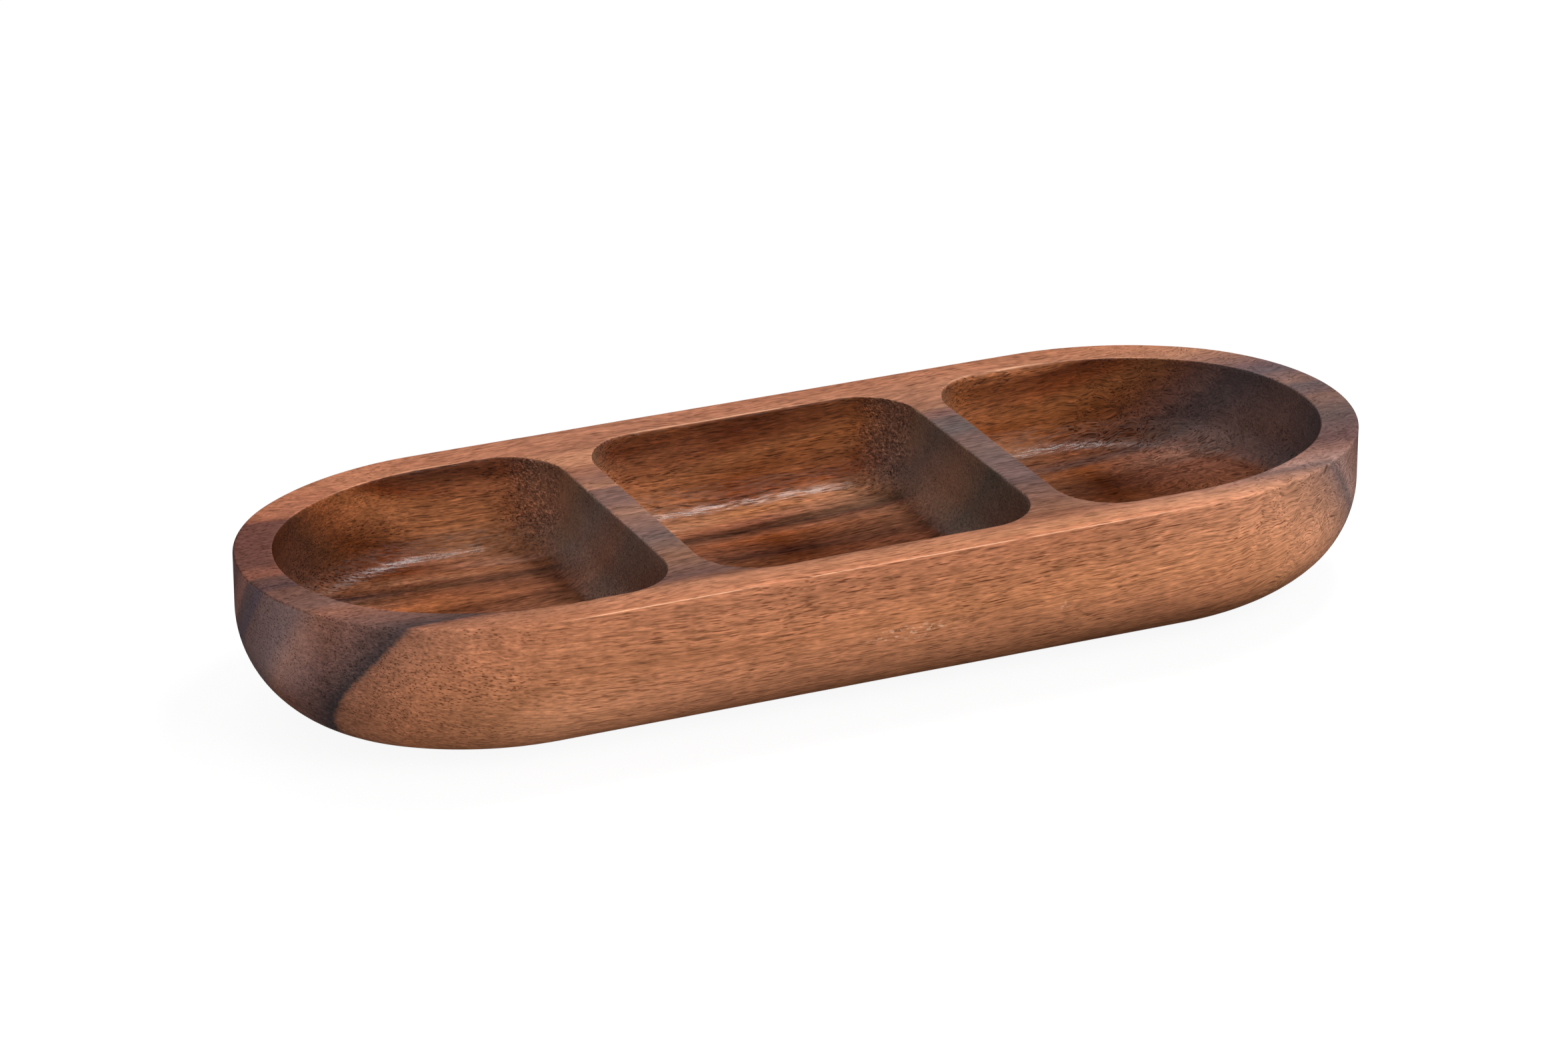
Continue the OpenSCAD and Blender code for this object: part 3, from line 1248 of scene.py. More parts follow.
            # Painted shade: the oiled ends of the fibres darken towards the lip.
            cut = w.scaled(cut, w.remap(height, self.lip_shade_height, (1.0, self.lip_shade)))
        else:
            cut = self._timber(w, timber, layers, self.end_contrast)
            # Painted sheen: the dry tips are lightened and greyed.
            cut = w.mixed(1.0, cut, self.end_sheen_tone, "MULTIPLY")
        tint = w.mixed(ends.outputs["End" if self.oiled else "Tip"], tint, cut)
        if self.torn_bump:
            torn = w.mixed(1.0, tint, self.torn_tone, "MULTIPLY")
            tint = w.mixed(ends.outputs["Torn"], tint, torn)
            # The torn specks hold painted shade in the pits and painted glints on the
            # ridges.
            chips = w.sums("MULTIPLY", ends.outputs["Chips"], self.torn_colour_and_shade)
            tint = w.scaled(tint, w.sums("POWER", GROWTH, chips))
        return tint

    def _open(
        self, w: Wiring, groups: TimberGroups, layers: bpy.types.Node
    ) -> Socket:
        """The mask of all the open pores.

        Args:
            w: The material's wiring.
            groups: The shared timber groups.
            layers: The node that finds the layers and the fibres.

        Returns:
            1 in a pore and 0 between the pores.
        """
        grain, dive = layers.outputs["Grain"], layers.outputs["Dive"]
        level = w.sums("SUBTRACT", 1.0, dive)
        dots = w.sums("MULTIPLY", self._pores(w, groups, grain, PORE_DOTS), dive)
        dashes = self._pores(w, groups, grain, PORE_DASHES)
        dashes = w.sums("MULTIPLY", dashes, level)
        short = w.sums("MAXIMUM", dots, dashes)
        pores = w.sums("MAXIMUM", short, self._pores(w, groups, grain, PORE_LINES))
        patch = w.remap(w.marks(grain, self.patch_size), self.patches, self.patch_share)
        return w.sums("MULTIPLY", pores, patch)

    def _used(
        self,
        w: Wiring,
        groups: TimberGroups,
        layers: bpy.types.Node,
        ends: bpy.types.Node,
        tint: Socket,
    ) -> Socket:
        """The colour with its worn edges and their painted highlight, its painted foot
        light and shade, and its scuffs.

        Args:
            w: The material's wiring.
            groups: The shared timber groups.
            layers: The node that finds the layers and the fibres.
            ends: The node that finds the cut ends of the fibres.
            tint: The colour without them.

        Returns:
            The colour.
        """
        wear = groups.placed(w, groups.wear)
        w.feed(wear.inputs["Grain"], layers.outputs["Grain"])
        # The worn edge line is partly wear and partly a painted highlight.
        worn = w.sums("MULTIPLY", wear.outputs["Mask"], self.edge_wear_and_highlight_share)
        tint = w.mixed(worn, tint, self.edge_wear_and_highlight_tone)
        # Painted light and shade near the foot: lighter at the left end, darker towards the
        # right.
        if self.foot_light_and_shade:
            foot = w.linear(layers.outputs["Along"], self.foot_shade_along, self.foot_light_and_shade)
            low = w.remap(ends.outputs["Height"], self.foot_shade_height, (foot, 1.0))
            tint = w.scaled(tint, low)
        if self.scuff_share:
            scuff = w.sums("MULTIPLY", wear.outputs["Scuff"], self.scuff_share)
            tint = w.mixed(scuff, tint, self.edge_wear_and_highlight_tone)
        return tint

    def _oil(
        self, w: Wiring, grain: Socket, pores: Socket, ends: bpy.types.Node
    ) -> Socket:
        """How much oil lies on each place.

        Args:
            w: The material's wiring.
            grain: The fibres' own coordinates.
            pores: The mask of the open pores.
            ends: The node that finds the cut ends of the fibres.

        Returns:
            The weight of the film.
        """
        thin = w.remap(w.marks(grain, self.thin_size), self.thin, self.thin_share)
        end, torn, up = (ends.outputs[label] for label in ("End", "Torn", "Up"))
        smooth = w.sums("SUBTRACT", end, torn, clamp=True)
        bare = w.sums("MAXIMUM", w.sums("MAXIMUM", smooth, pores), thin)
        film = w.linear(bare, (0.0, 1.0), (self.film, self.dry_share * self.film))
        wiped = w.remap(up, self.floor, (1.0, self.floor_share))
        return w.sums("MULTIPLY", film, wiped)

    def _timber(
        self,
        w: Wiring,
        group: bpy.types.NodeTree,
        layers: bpy.types.Node,
        share: float,
    ) -> Socket:
        """The timber's colour by one of the colour groups.

        Args:
            w: The material's wiring.
            group: The colour group.
            layers: The node that finds the layers and the fibres.
            share: The share of the finish's contrast that shows.

        Returns:
            The colour.
        """
        node = TimberGroups.placed(w, group)
        for label in ("Layer", "Grain", "Along", "Dive"):
            w.feed(node.inputs[label], layers.outputs[label])
        node.inputs["Contrast"].default_value = self.contrast * share
        return node.outputs["Color"]

    @staticmethod
    def _pores(
        w: Wiring, groups: TimberGroups, grain: Socket, sizes: tuple[float, ...]
    ) -> Socket:
        """The mask of one size of pores."""
        node = w.add("ShaderNodeGroup", grain, *sizes, node_tree=groups.pores)
        return node.outputs["Mask"]

    def _relief(
        self, w: Wiring, grain: Socket, pores: Socket, ends: bpy.types.Node
    ) -> Socket:
        """The normal of the fibres, the open pores and the torn places.

        Args:
            w: The material's wiring.
            grain: The fibres' own coordinates.
            pores: The mask of the open pores.
            ends: The node that finds the cut ends of the fibres.

        Returns:
            The normal.
        """
        fibres = w.marks(grain, self.fibre_size, 3.0)
        height = w.sums("MULTIPLY", fibres, self.fibre_bump)
        sunk = w.sums("MULTIPLY", pores, self.pore_bump)
        height = w.sums("SUBTRACT", height, sunk)
        if self.torn_bump:
            rough = w.sums("MULTIPLY", ends.outputs["Chips"], self.torn_bump)
            height = w.sums("ADD", height, rough)
        bump = w.add("ShaderNodeBump")
        bump.inputs["Distance"].default_value = 1.0
        bump.inputs["Strength"].default_value = 1.0
        w.feed(bump.inputs["Height"], height)
        return bump.outputs[0]


SANDED = Finish(
    "sanded_acacia",
    tone=(1.0, 0.97, 0.92),
    gloss=(0.75, 0.90),
    contrast=1.0,
    edge_wear_and_highlight_share=1.0,
    edge_wear_and_highlight_tone=(0.92, 0.54, 0.35),
)
RUBBED = Finish(
    "rubbed_acacia",
    tone=(1.0, 0.98, 0.92),
    gloss=(0.75, 0.90),
    contrast=1.25,
    edge_wear_and_highlight_share=1.0,
    scuff_share=0.6,
    # Painted light at the left end's foot, painted shade at the right end's.
    foot_light_and_shade=(1.30, 0.64),
    edge_wear_and_highlight_tone=(0.92, 0.54, 0.35),
)
OILED = Finish(
    "oiled_acacia",
    oiled=True,
    gloss=(0.60, 0.80),
    contrast=1.6,
    end_contrast=0.6,
    pore_tone=(0.36, 0.28, 0.24),
    fibre_bump=0.00010,
    torn_bump=0.0013,
    pore_bump=0.00016,
    specular=0.001,
    film=0.62,
    film_gloss=0.29,
)
# The underside is darkened to meet the painted shade at the side's foot.
PLAIN = Finish("plain_acacia", tone=(0.85, 0.83, 0.78), gloss=(0.75, 0.90))


# --------------------------------------------------------------------------
# Hand finish
# --------------------------------------------------------------------------


@dataclass(frozen=True)
class HandFinish:
    """What carving and sanding by hand leave on the board, as a node tree.

    Attributes:
        wave_size: How far apart the shallow hollows lie, in metres.
        wave_depth: How deep they are, in metres.
        torn_size: How far apart the torn places lie, in metres.
        torn_depth: How deep they are, in metres.
        seed: What tells one board's pattern from the next.
        torn: The part of the noise that makes a torn place.
    """

    wave_size: float = 0.030
    wave_depth: float = 0.00030
    torn_size: float = 0.0045
    torn_depth: float = 0.00045
    seed: float = 7.3
    torn: Span = (0.35, 0.75)

    def tree(self) -> bpy.types.NodeTree:
        """The node tree, with its sizes and the finishes as named inputs.

        Returns:
            A Geometry Nodes tree.
        """
        tree = bpy.data.node_groups.new("hand finish", "GeometryNodeTree")
        face = tree.interface
        geometry = "NodeSocketGeometry"
        face.new_socket("Geometry", in_out="INPUT", socket_type=geometry)
        for label in ("Wave Size", "Wave Depth", "Torn Size", "Torn Depth", "Seed"):
            face.new_socket(label, in_out="INPUT", socket_type="NodeSocketFloat")
        for zone in Zone:
            label = zone.name.title()
            face.new_socket(label, in_out="INPUT", socket_type="NodeSocketMaterial")
        face.new_socket("Geometry", in_out="OUTPUT", socket_type=geometry)
        w = Wiring(tree)
        source = w.add("NodeGroupInput").outputs
        give = self._named(w, "give", "FLOAT")
        carved = self._named(w, "carved", "FLOAT")
        place = w.add("GeometryNodeInputPosition").outputs[0]
        normal = w.add("GeometryNodeInputNormal").outputs[0]
        pitch = w.sums("DIVIDE", 1.0, source["Wave Size"])
        wave = w.noise(place, pitch, 1.0, 0.4, source["Seed"]).outputs[0]
        wave = w.linear(wave, NOISE_SPAN)
        wave = w.sums("MULTIPLY", wave, source["Wave Depth"])
        pitch = w.sums("DIVIDE", 1.0, source["Torn Size"])
        torn = w.noise(place, pitch, 2.0, 0.6, source["Seed"]).outputs[0]
        torn = w.linear(torn, self.torn)
        torn = w.sums("MULTIPLY", torn, source["Torn Depth"])
        torn = w.sums("MULTIPLY", torn, carved)
        depth = w.sums("MULTIPLY", w.sums("ADD", wave, torn), give)
        inwards = w.scaled(normal, w.sums("MULTIPLY", depth, -1.0))
        moved = w.add("GeometryNodeSetPosition")
        w.feed(moved.inputs["Geometry"], source["Geometry"])
        w.feed(moved.inputs["Offset"], inwards)
        last = w.add("GeometryNodeRealizeInstances")
        w.feed(last.inputs[0], moved.outputs[0])
        shape = last.outputs[0]
        zones = self._named(w, "zone", "INT")
        for zone in Zone:
            chosen = w.add("FunctionNodeCompare", data_type="INT", operation="EQUAL")
            w.feed(chosen.inputs[2], zones)
            chosen.inputs[3].default_value = int(zone)
            dressed = w.add("GeometryNodeSetMaterial")
            w.feed(dressed.inputs["Geometry"], shape)
            w.feed(dressed.inputs["Selection"], chosen.outputs[0])
            w.feed(dressed.inputs["Material"], source[zone.name.title()])
            shape = dressed.outputs[0]
        w.feed(w.add("NodeGroupOutput").inputs[0], shape)
        return tree

    @staticmethod
    def _named(w: Wiring, label: str, kind: str) -> Socket:
        """An attribute of the mesh, read by its name.

        Args:
            w: The tree's wiring.
            label: The attribute's name.
            kind: Its data type.

        Returns:
            Its value.
        """
        node = w.add("GeometryNodeInputNamedAttribute", data_type=kind)
        node.inputs["Name"].default_value = label
        return node.outputs[0]

    def applied(
        self, piece: bpy.types.Object, dress: dict[Zone, bpy.types.Material]
    ) -> None:
        """Runs the tree on a piece and keeps the result as its mesh.

        Args:
            piece: The piece.
            dress: The material of each zone.
        """
        tree = self.tree()
        modifier = piece.modifiers.new("hand finish", "NODES")
        modifier.node_group = tree
        given: dict[str, object] = {
            "Wave Size": self.wave_size,
            "Wave Depth": self.wave_depth,
            "Torn Size": self.torn_size,
            "Torn Depth": self.torn_depth,
            "Seed": self.seed,
        }
        given |= {zone.name.title(): made for zone, made in dress.items()}
        for item in tree.interface.items_tree:
            if item.in_out == "INPUT" and item.name in given:
                modifier[item.identifier] = given[item.name]
        seen = piece.evaluated_get(bpy.context.evaluated_depsgraph_get())
        kept = bpy.data.meshes.new_from_object(seen)
        piece.modifiers.clear()
        spare = piece.data
        piece.data = kept
        kept.name = spare.name
        bpy.data.meshes.remove(spare)


# --------------------------------------------------------------------------
# The board
# --------------------------------------------------------------------------


# How far the hand finish may move each part of the skin, from 0 to 1.
RIM_GIVE = 0.25
LIP_GIVE = 0.6
EDGE_GIVE = 0.3
SIDE_GIVE = 0.5


@dataclass(frozen=True)
class LipEase:
    """A place where a well's lip is rounder, worn lighter and painted with a highlight.

    Attributes:
        middle: The place's middle from above, in millimetres.
        spread: How far it reaches along X and Y.
        extra: What it adds to the lip's radius.
        light: How worn and how brightly highlighted the lip is there, from 0 to
        1; the highlight is painted.
    """

    middle: tuple[float, float]
    spread: tuple[float, float]
    extra: float
    light: float = 0.0

    def at(self, points: np.ndarray) -> np.ndarray:
        """How much of it is felt at these points, from 0 to 1."""
        away = (points - np.asarray(self.middle)) / np.asarray(self.spread)
        return np.exp(-np.sum(away**4, 1))


@dataclass
class Ease:
    """How the lips of the wells are rounded.

    Attributes:
        radius: The usual radius, in millimetres.
        unevenness: How much it comes and goes, as a share.
        ragged: How many times more where the grain is torn.
        steps: Rows of quads round a lip.
        places: Where a lip is rounder, worn and highlighted.
        faint: How worn and highlighted a lip is elsewhere.
        seed: What tells one board's lips from the next.
        beats: How many times the radius comes and goes round a well.
        least: The smallest radius, as a share of the usual one.
    """

    radius: float = 0.8
    unevenness: float = 0.30
    ragged: float = 1.6
    steps: int = 4
    places: tuple[LipEase, ...] = (
        LipEase((102.0, 62.0), (20.0, 9.0), 1.1, 0.80),
        LipEase((-10.0, 62.0), (56.0, 4.0), 0.35, 0.75),
        LipEase((-125.0, 60.0), (34.0, 9.0), 0.30, 0.45),
        LipEase((148.0, 56.0), (24.0, 9.0), 0.0, 0.45),
        LipEase((177.0, 34.0), (8.0, 14.0), 0.0, 0.40),
        LipEase((61.0, 41.0), (1.8, 1.8), 1.40, 0.80),
        LipEase((-79.0, 55.0), (2.0, 2.0), 1.10, 0.60),
    )
    faint: float = 0.03
    seed: int = 11
    beats: tuple[int, ...] = (3, 5, 8, 13, 21, 34)
    least: float = 0.4

    def wear(self, points: np.ndarray) -> np.ndarray:
        """How worn the lip is at each point round a well, with its painted highlight."""
        light = sum(place.light * place.at(points) for place in self.places)
        return np.clip(self.faint + light, 0.0, 1.0)

    def radii(self, points: np.ndarray, torn: np.ndarray) -> np.ndarray:
        """The lip's radius at each point round a well, ragged where torn.

        Args:
            points: The points, as rows of x and y.
            torn: How far the grain is torn at each.

        Returns:
            The radius at each point, in millimetres.
        """
        rng = np.random.default_rng(self.seed)
        turn = np.arange(len(points)) / len(points) * 2 * math.pi
        uneven = np.zeros(len(points))
        for beat in self.beats:
            phase, size = rng.uniform(0, 2 * math.pi), rng.uniform(0.3, 1.0)
            uneven += size * np.sin(beat * turn + phase) / math.sqrt(beat)
        uneven += self.ragged * torn * rng.uniform(-1, 1, len(points))
        radius = self.radius * (1 + self.unevenness * uneven)
        radius += sum(place.extra * place.at(points) for place in self.places)
        return np.maximum(radius, self.least * self.radius)


@dataclass
class CarvedWell:
    """One well of the board, from its lip down to its floor.

    Attributes:
        outline: Its upright wall from above.
        cell: The numbers of the rim points round it, station by station.
        corners: Where its floor's grid has its corners.
        height: The rim's height.
        depth: How far down the floor is.
        fillet: The round between wall and floor.
        ease: How its lip is rounded.
        tear: How far torn grain runs on past a corner.
        gentle: The radius above which a bend tears less.
        gentle_share: What is left of the tearing there, as a share.
        across: How far a wall faces along the board before it tears, and how
            much further it does where it tears fully.
        aslant: How far it faces across the board where it tears fully.
        fade: How much of the tearing is gone at the fillet's foot.
        rim_steps: Rows of quads across the rim.
        wall_steps: Rows down the upright wall.
        fillet_steps: Rows round the fillet.
    """

    outline: Outline
    cell: np.ndarray
    corners: tuple[int, int, int, int]
    height: float
    depth: float
    fillet: float
    ease: Ease
    tear: float = 3.5
    gentle: float = 40.0
    gentle_share: float = 0.35
    across: Span = (0.22, 0.40)
    aslant: float = 0.45
    fade: float = 0.8
    rim_steps: int = 6
    wall_steps: int = 12
    fillet_steps: int = 12

    def _torn(self) -> np.ndarray:
        """Where the cutter ran against slanting fibres.

        Returns:
            How far it tore them at each station, from 0 to 1.
        """
        x, y = self.outline.direction.T
        against = np.clip((np.abs(x) - self.across[0]) / self.across[1], 0.0, 1.0)
        against *= np.clip(np.abs(y) / self.aslant, 0.0, 1.0) * (x * y > 0)
        against *= np.where(self.outline.radius < self.gentle, 1.0, self.gentle_share)
        place = self.outline.offset(0.0)
        away = np.linalg.norm(place[:, None] - place[None], axis=2)
        near = np.exp(-((away / self.tear) ** 2))
        spread = (near * against[None]).max(1)
        return spread * spread * (3 - 2 * spread)

    def carve(self, skin: Sheets) -> None:
        """Adds the rim round the well, its lip, wall, fillet and floor.

        Args:
            skin: The board's sheets.
        """
        torn = self._torn()
        radius = self.ease.radii(self.outline.offset(0.0), torn)
        outside = skin.place(self.cell)[:, :2]
        inside = self.outline.offset(-radius)
        inner = last = skin.row(inside, self.height)
        for step in range(1, self.rim_steps):
            share = step / self.rim_steps
            flat = inside * (1 - share) + outside * share
            wider = skin.row(flat, self.height, give=RIM_GIVE)
            skin.band(last, wider, Zone.RIM, Turn.OUT)
            last = wider
        skin.band(last, self.cell, Zone.RIM, Turn.OUT)
        last = inner
        for step in range(1, self.ease.steps + 1):
            angle = math.pi / 2 * step / self.ease.steps
            inset = radius * (math.sin(angle) - 1)
            tall = self.height - radius * (1 - math.cos(angle))
            # The lip's first row takes its wear and its painted highlight.
            crest = self.ease.wear(inside) if step == 1 else 0.0
            rough = torn * step / self.ease.steps
            lower = skin.row(self.outline.offset(inset), tall, crest, LIP_GIVE, rough)
            zone = Zone.RIM if step <= self.ease.steps // 2 else Zone.WELL
            skin.band(last, lower, zone, Turn.IN)
            last = lower
        top = self.height - radius
        foot = self.height - self.depth + self.fillet
        for step in range(1, self.wall_steps + 1):
            share = step / self.wall_steps
            tall = top * (1 - share) + foot * share
            lower = skin.row(self.outline.offset(0.0), tall, carved=torn)
            skin.band(last, lower, Zone.WELL, Turn.IN)
            last = lower
        for step in range(1, self.fillet_steps + 1):
            angle = math.pi / 2 * step / self.fillet_steps
            inset = self.fillet * (1 - math.cos(angle))
            tall = foot - self.fillet * math.sin(angle)
            left = 1.0 - self.fade * step / self.fillet_steps
            lower = skin.row(self.outline.offset(inset), tall, carved=torn * left)
            skin.band(last, lower, Zone.WELL, Turn.IN)
            last = lower
        skin.patch(last, self.corners, Zone.WELL, Turn.OUT, 1.0)


@dataclass
class ServerBoard:
    """The whole board: an oval block with three wells and a rounded foot.

    Attributes:
        half_length: Half the board's length.
        half_width: Half its width.
        height: Its height.
        tip: The radius of its round ends.
        join: The slope of the line where an end meets a shoulder.
        rim: The width of the rim.
        divider: The thickness of the walls between the wells.
        middle: The length of the middle well.
        corner: The radius of the wells' corners from above.
        depth: How deep the wells are.
        fillet: The round between a well's wall and its floor.
        foot: The round under the board.
        edge: The eased outer edge of the rim.
        sanding: What the last sanding takes off the outside.
        ease: How the wells' lips are rounded.
        worn_highlight_to: How far from the middle the front edge is worn and painted with a
            highlight.
        worn_highlight_fade: The length over which both die away.
        worn_highlight_front: How far forward an edge lies to be worn and highlighted, as a
            share of half the width.
        edge_steps: Rows of quads round the rim's outer edge.
        side_steps: Rows down the upright side.
        foot_steps: Rows round the foot.
        tip_count: Stations round the tip of an end.
        shoulder_count: Stations round a shoulder.
        run_count: Stations along the straight run beside an end well.
        half_corner: Stations round half a corner of a well.
        middle_count: Stations along the middle well.
        side_count: Stations along a divider.
    """

    half_length: float
    half_width: float
    height: float
    tip: float = 70.0
    join: tuple[float, float] = (3.0, 4.0)
    rim: float = 13.3
    divider: float = 12.0
    middle: float = 121.0
    corner: float = 21.5
    depth: float = 32.0
    fillet: float = 12.0
    foot: float = 37.0
    edge: float = 1.0
    sanding: float = 0.06
    ease: Ease = field(default_factory=Ease)
    worn_highlight_to: float = 132.0
    worn_highlight_fade: float = 25.0
    worn_highlight_front: float = 0.95
    edge_steps: int = 6
    side_steps: int = 9
    foot_steps: int = 26
    tip_count: int = 70
    shoulder_count: int = 36
    run_count: int = 14
    half_corner: int = 12
    middle_count: int = 52
    side_count: int = 56

    def __post_init__(self) -> None:
        """Works out the centres that the sizes give."""
        slope = math.hypot(*self.join)
        self.shoulder = (slope * self.half_width - self.join[1] * self.tip) / (
            slope - self.join[1]
        )
        reach = (self.shoulder - self.tip) / slope
        self.tip_x = self.half_length - self.tip
        self.shoulder_x = self.tip_x - self.join[0] * reach
        self.shoulder_y = -self.join[1] * reach
        self.join_angle = math.degrees(math.atan2(self.join[1], self.join[0]))
        self.wall_x = self.middle / 2
        self.line_x = self.wall_x + self.divider / 2
        self.end_x = self.wall_x + self.divider
        self.well_y = self.half_width - self.rim
        self.corner_y = self.well_y - self.corner

    def _end(self, inset: float) -> tuple[Outline, Outline, Outline]:
        """The arcs of the right end.

        Args:
            inset: How far inside the board's outline they lie.

        Returns:
            The upper shoulder, the tip and the lower shoulder.
        """
        tilt = self.join_angle
        tip = arc((self.tip_x, 0), self.tip - inset, -tilt, tilt, self.tip_count)
        bend, count = self.shoulder - inset, self.shoulder_count
        upper = arc((self.shoulder_x, self.shoulder_y), bend, tilt, 90, count)
        lower = arc((self.shoulder_x, -self.shoulder_y), bend, 270, 360 - tilt, count)
        return upper, tip, lower

    def outer(self) -> Outline:
        """The board's outline, with a station opposite each of the wells'.

        Returns:
            The outline, from the right tip round.
        """
        upper, tip, lower = self._end(0.0)
        stops = (self.shoulder_x, self.end_x + self.corner, self.line_x)
        stops += (self.wall_x - self.corner,)
        counts = (self.run_count, self.half_corner, self.half_corner)
        wide = self.half_width
        runs = []
        ends = (*stops, *(-s for s in reversed(stops)))
        for k, count in enumerate((*counts, self.middle_count, *reversed(counts))):
            start, end = (ends[k], wide), (ends[k + 1], wide)
            runs.append(straight(start, end, (0, 1), wide, count))
        half = [upper, *runs, lower.turned()]
        turned = [p.turned() for p in half]
        return Outline.joined([tip, *half, tip.turned(), *turned])

    def middle_well(self) -> Outline:
        """The middle well's outline.

        Returns:
            The outline, from the front of its right wall round.
        """
        x, y, r = self.wall_x - self.corner, self.corner_y, self.corner
        full = 2 * self.half_corner
        half = [
            straight((x + r, -y), (x + r, y), (1, 0), r, self.side_count),
            arc((x, y), r, 0, 90, full),
            straight((x, y + r), (-x, y + r), (0, 1), r, self.middle_count),
            arc((-x, y), r, 90, 180, full),
        ]
        return Outline.joined([*half, *(p.turned() for p in half)])

    def end_well(self) -> Outline:
        """The right well's outline.

        Returns:
            The outline, from its tip round.
        """
        upper, tip, lower = self._end(self.rim)
        x, y, r = self.end_x + self.corner, self.corner_y, self.corner
        full, top = 2 * self.half_corner, self.well_y
        near, far = (self.shoulder_x, top), (x, top)
        return Outline.joined(
            [
                tip,
                upper,
                straight(near, far, (0, 1), top, self.run_count),
                arc((x, y), r, 90, 180, full),
                straight((x - r, y), (x - r, -y), (-1, 0), r, self.side_count),
                arc((x, -y), r, 180, 270, full),
                straight((x, -top), (near[0], -top), (0, -1), top, self.run_count),
                lower,
            ]
        )

    def _divider_line(self, skin: Sheets, ends: tuple[int, int], x: float) -> np.ndarray:
        """Adds points along a divider's middle.

        Args:
            skin: The board's sheets.
            ends: The numbers of the rim points before and behind it.
            x: Where the divider stands.

        Returns:
            The numbers of all its points, front to back.
        """
        low, high = skin.place(np.array(ends))[:, 1]
        y, half = self.corner_y, self.half_corner
        spans = ((low, -y, half), (-y, y, self.side_count), (y, high, half))
        runs = [a + (b - a) * np.arange(n) / n for a, b, n in spans]
        line = np.concatenate(runs)[1:]
        flat = np.column_stack([np.full(len(line), x), line])
        numbers = skin.row(flat, self.height, give=RIM_GIVE)
        return np.concatenate([[ends[0]], numbers, [ends[1]]])

    def _worn_highlight(self, outline: Outline) -> np.ndarray:
        """How worn the outer edge is, with its painted highlight, along the straight front.

        Args:
            outline: The board's outline.

        Returns:
            The wear at each station, from 0 to 1.
        """
        x, y = outline.offset(0.0).T
        end = np.clip((self.worn_highlight_to - np.abs(x)) / self.worn_highlight_fade, 0.0, 1.0)
        return np.where(y < -self.worn_highlight_front * self.half_width, end, 0.0)

    def skin(self) -> Sheets:
        """The whole board as sheets of quads.

        Returns:
            The sheets, closed all round.
        """
        skin, outer = Sheets(), self.outer()
        off = self.sanding
        rim = skin.row(outer.offset(self.edge + off), self.height, give=RIM_GIVE)
        last = rim
        for step in range(1, self.edge_steps + 1):
            angle = math.pi / 2 * step / self.edge_steps
            inset = self.edge * (1 - math.sin(angle)) + off
            tall = self.height - self.edge * (1 - math.cos(angle))
            # The crest row takes the worn line and its painted highlight.
            crest = self._worn_highlight(outer) if step == self.edge_steps // 2 else 0.0
            lower = skin.row(outer.offset(inset), tall, crest, EDGE_GIVE)
            zone = Zone.RIM if step <= self.edge_steps // 2 else Zone.SIDE
            skin.band(last, lower, zone, Turn.OUT)
            last = lower
        top = self.height - self.edge
        for step in range(1, self.side_steps + 1):
            share = step / self.side_steps
            tall = top * (1 - share) + self.foot * share
            lower = skin.row(outer.offset(off), tall, give=SIDE_GIVE)
            skin.band(last, lower, Zone.SIDE, Turn.OUT)
            last = lower
        for step in range(1, self.foot_steps + 1):
            angle = math.pi / 2 * step / self.foot_steps
            inset = self.foot * (1 - math.cos(angle)) + off
            tall = self.foot * (1 - math.sin(angle))
            give = SIDE_GIVE * math.cos(angle)
            lower = skin.row(outer.offset(inset), tall, give=give)
            zone = Zone.SIDE if step < self.foot_steps - 1 else Zone.BASE
            skin.band(last, lower, zone, Turn.OUT)
            last = lower
        half = len(last) // 2
        corners = (half + self.tip_count, 0, self.tip_count, half)
        skin.patch(last, corners, Zone.BASE, Turn.IN, 0.0)
        self._wells(skin, rim)
        return skin

    def _wells(self, skin: Sheets, rim: np.ndarray) -> None:
        """Adds the three wells inside the rim's outer row.

        Args:
            skin: The board's sheets.
            rim: The numbers of the rim's outer points.
        """
        half = len(rim) // 2
        near = self.tip_count + self.shoulder_count + self.run_count + self.half_corner
        cut = 2 * self.half_corner + self.middle_count
        right_back, left_back = near, near + cut
        left_front, right_front = near + half, near + half + cut
        right = self._divider_line(skin, (rim[right_front], rim[right_back]), self.line_x)
        left = self._divider_line(skin, (rim[left_front], rim[left_back]), -self.line_x)
        side, span = self.half_corner, self.side_count
        loop = np.concatenate(
            [
                right[:-1],
                rim[right_back:left_back],
                left[:0:-1],
                rim[left_front:right_front],
            ]
        )
        shape = {"height": self.height, "depth": self.depth, "fillet": self.fillet}
        full, wide = 2 * side, self.middle_count
        first = span + side
        lap = 2 * (span + wide + 2 * full)
        spots = (lap - full - wide - side, lap - side, first, first + full + wide)
        CarvedWell(
            self.middle_well(), np.roll(loop, -side), spots, ease=self.ease, **shape
        ).carve(skin)
        turn = np.concatenate([rim[:right_back], right[:0:-1], rim[right_front:]])
        back = np.concatenate([rim[half:left_front], left[:-1], rim[left_back:half]])
        tip, bend, run = self.tip_count, self.shoulder_count, self.run_count
        spare = (full + span - tip) // 2
        start = tip + bend + run + side
        count = len(turn)
        spots = (start + full + span, count - spare, tip + spare, start)
        well = self.end_well()
        CarvedWell(well, turn, spots, ease=self.ease, **shape).carve(skin)
        CarvedWell(well.turned(), back, spots, ease=self.ease, **shape).carve(skin)

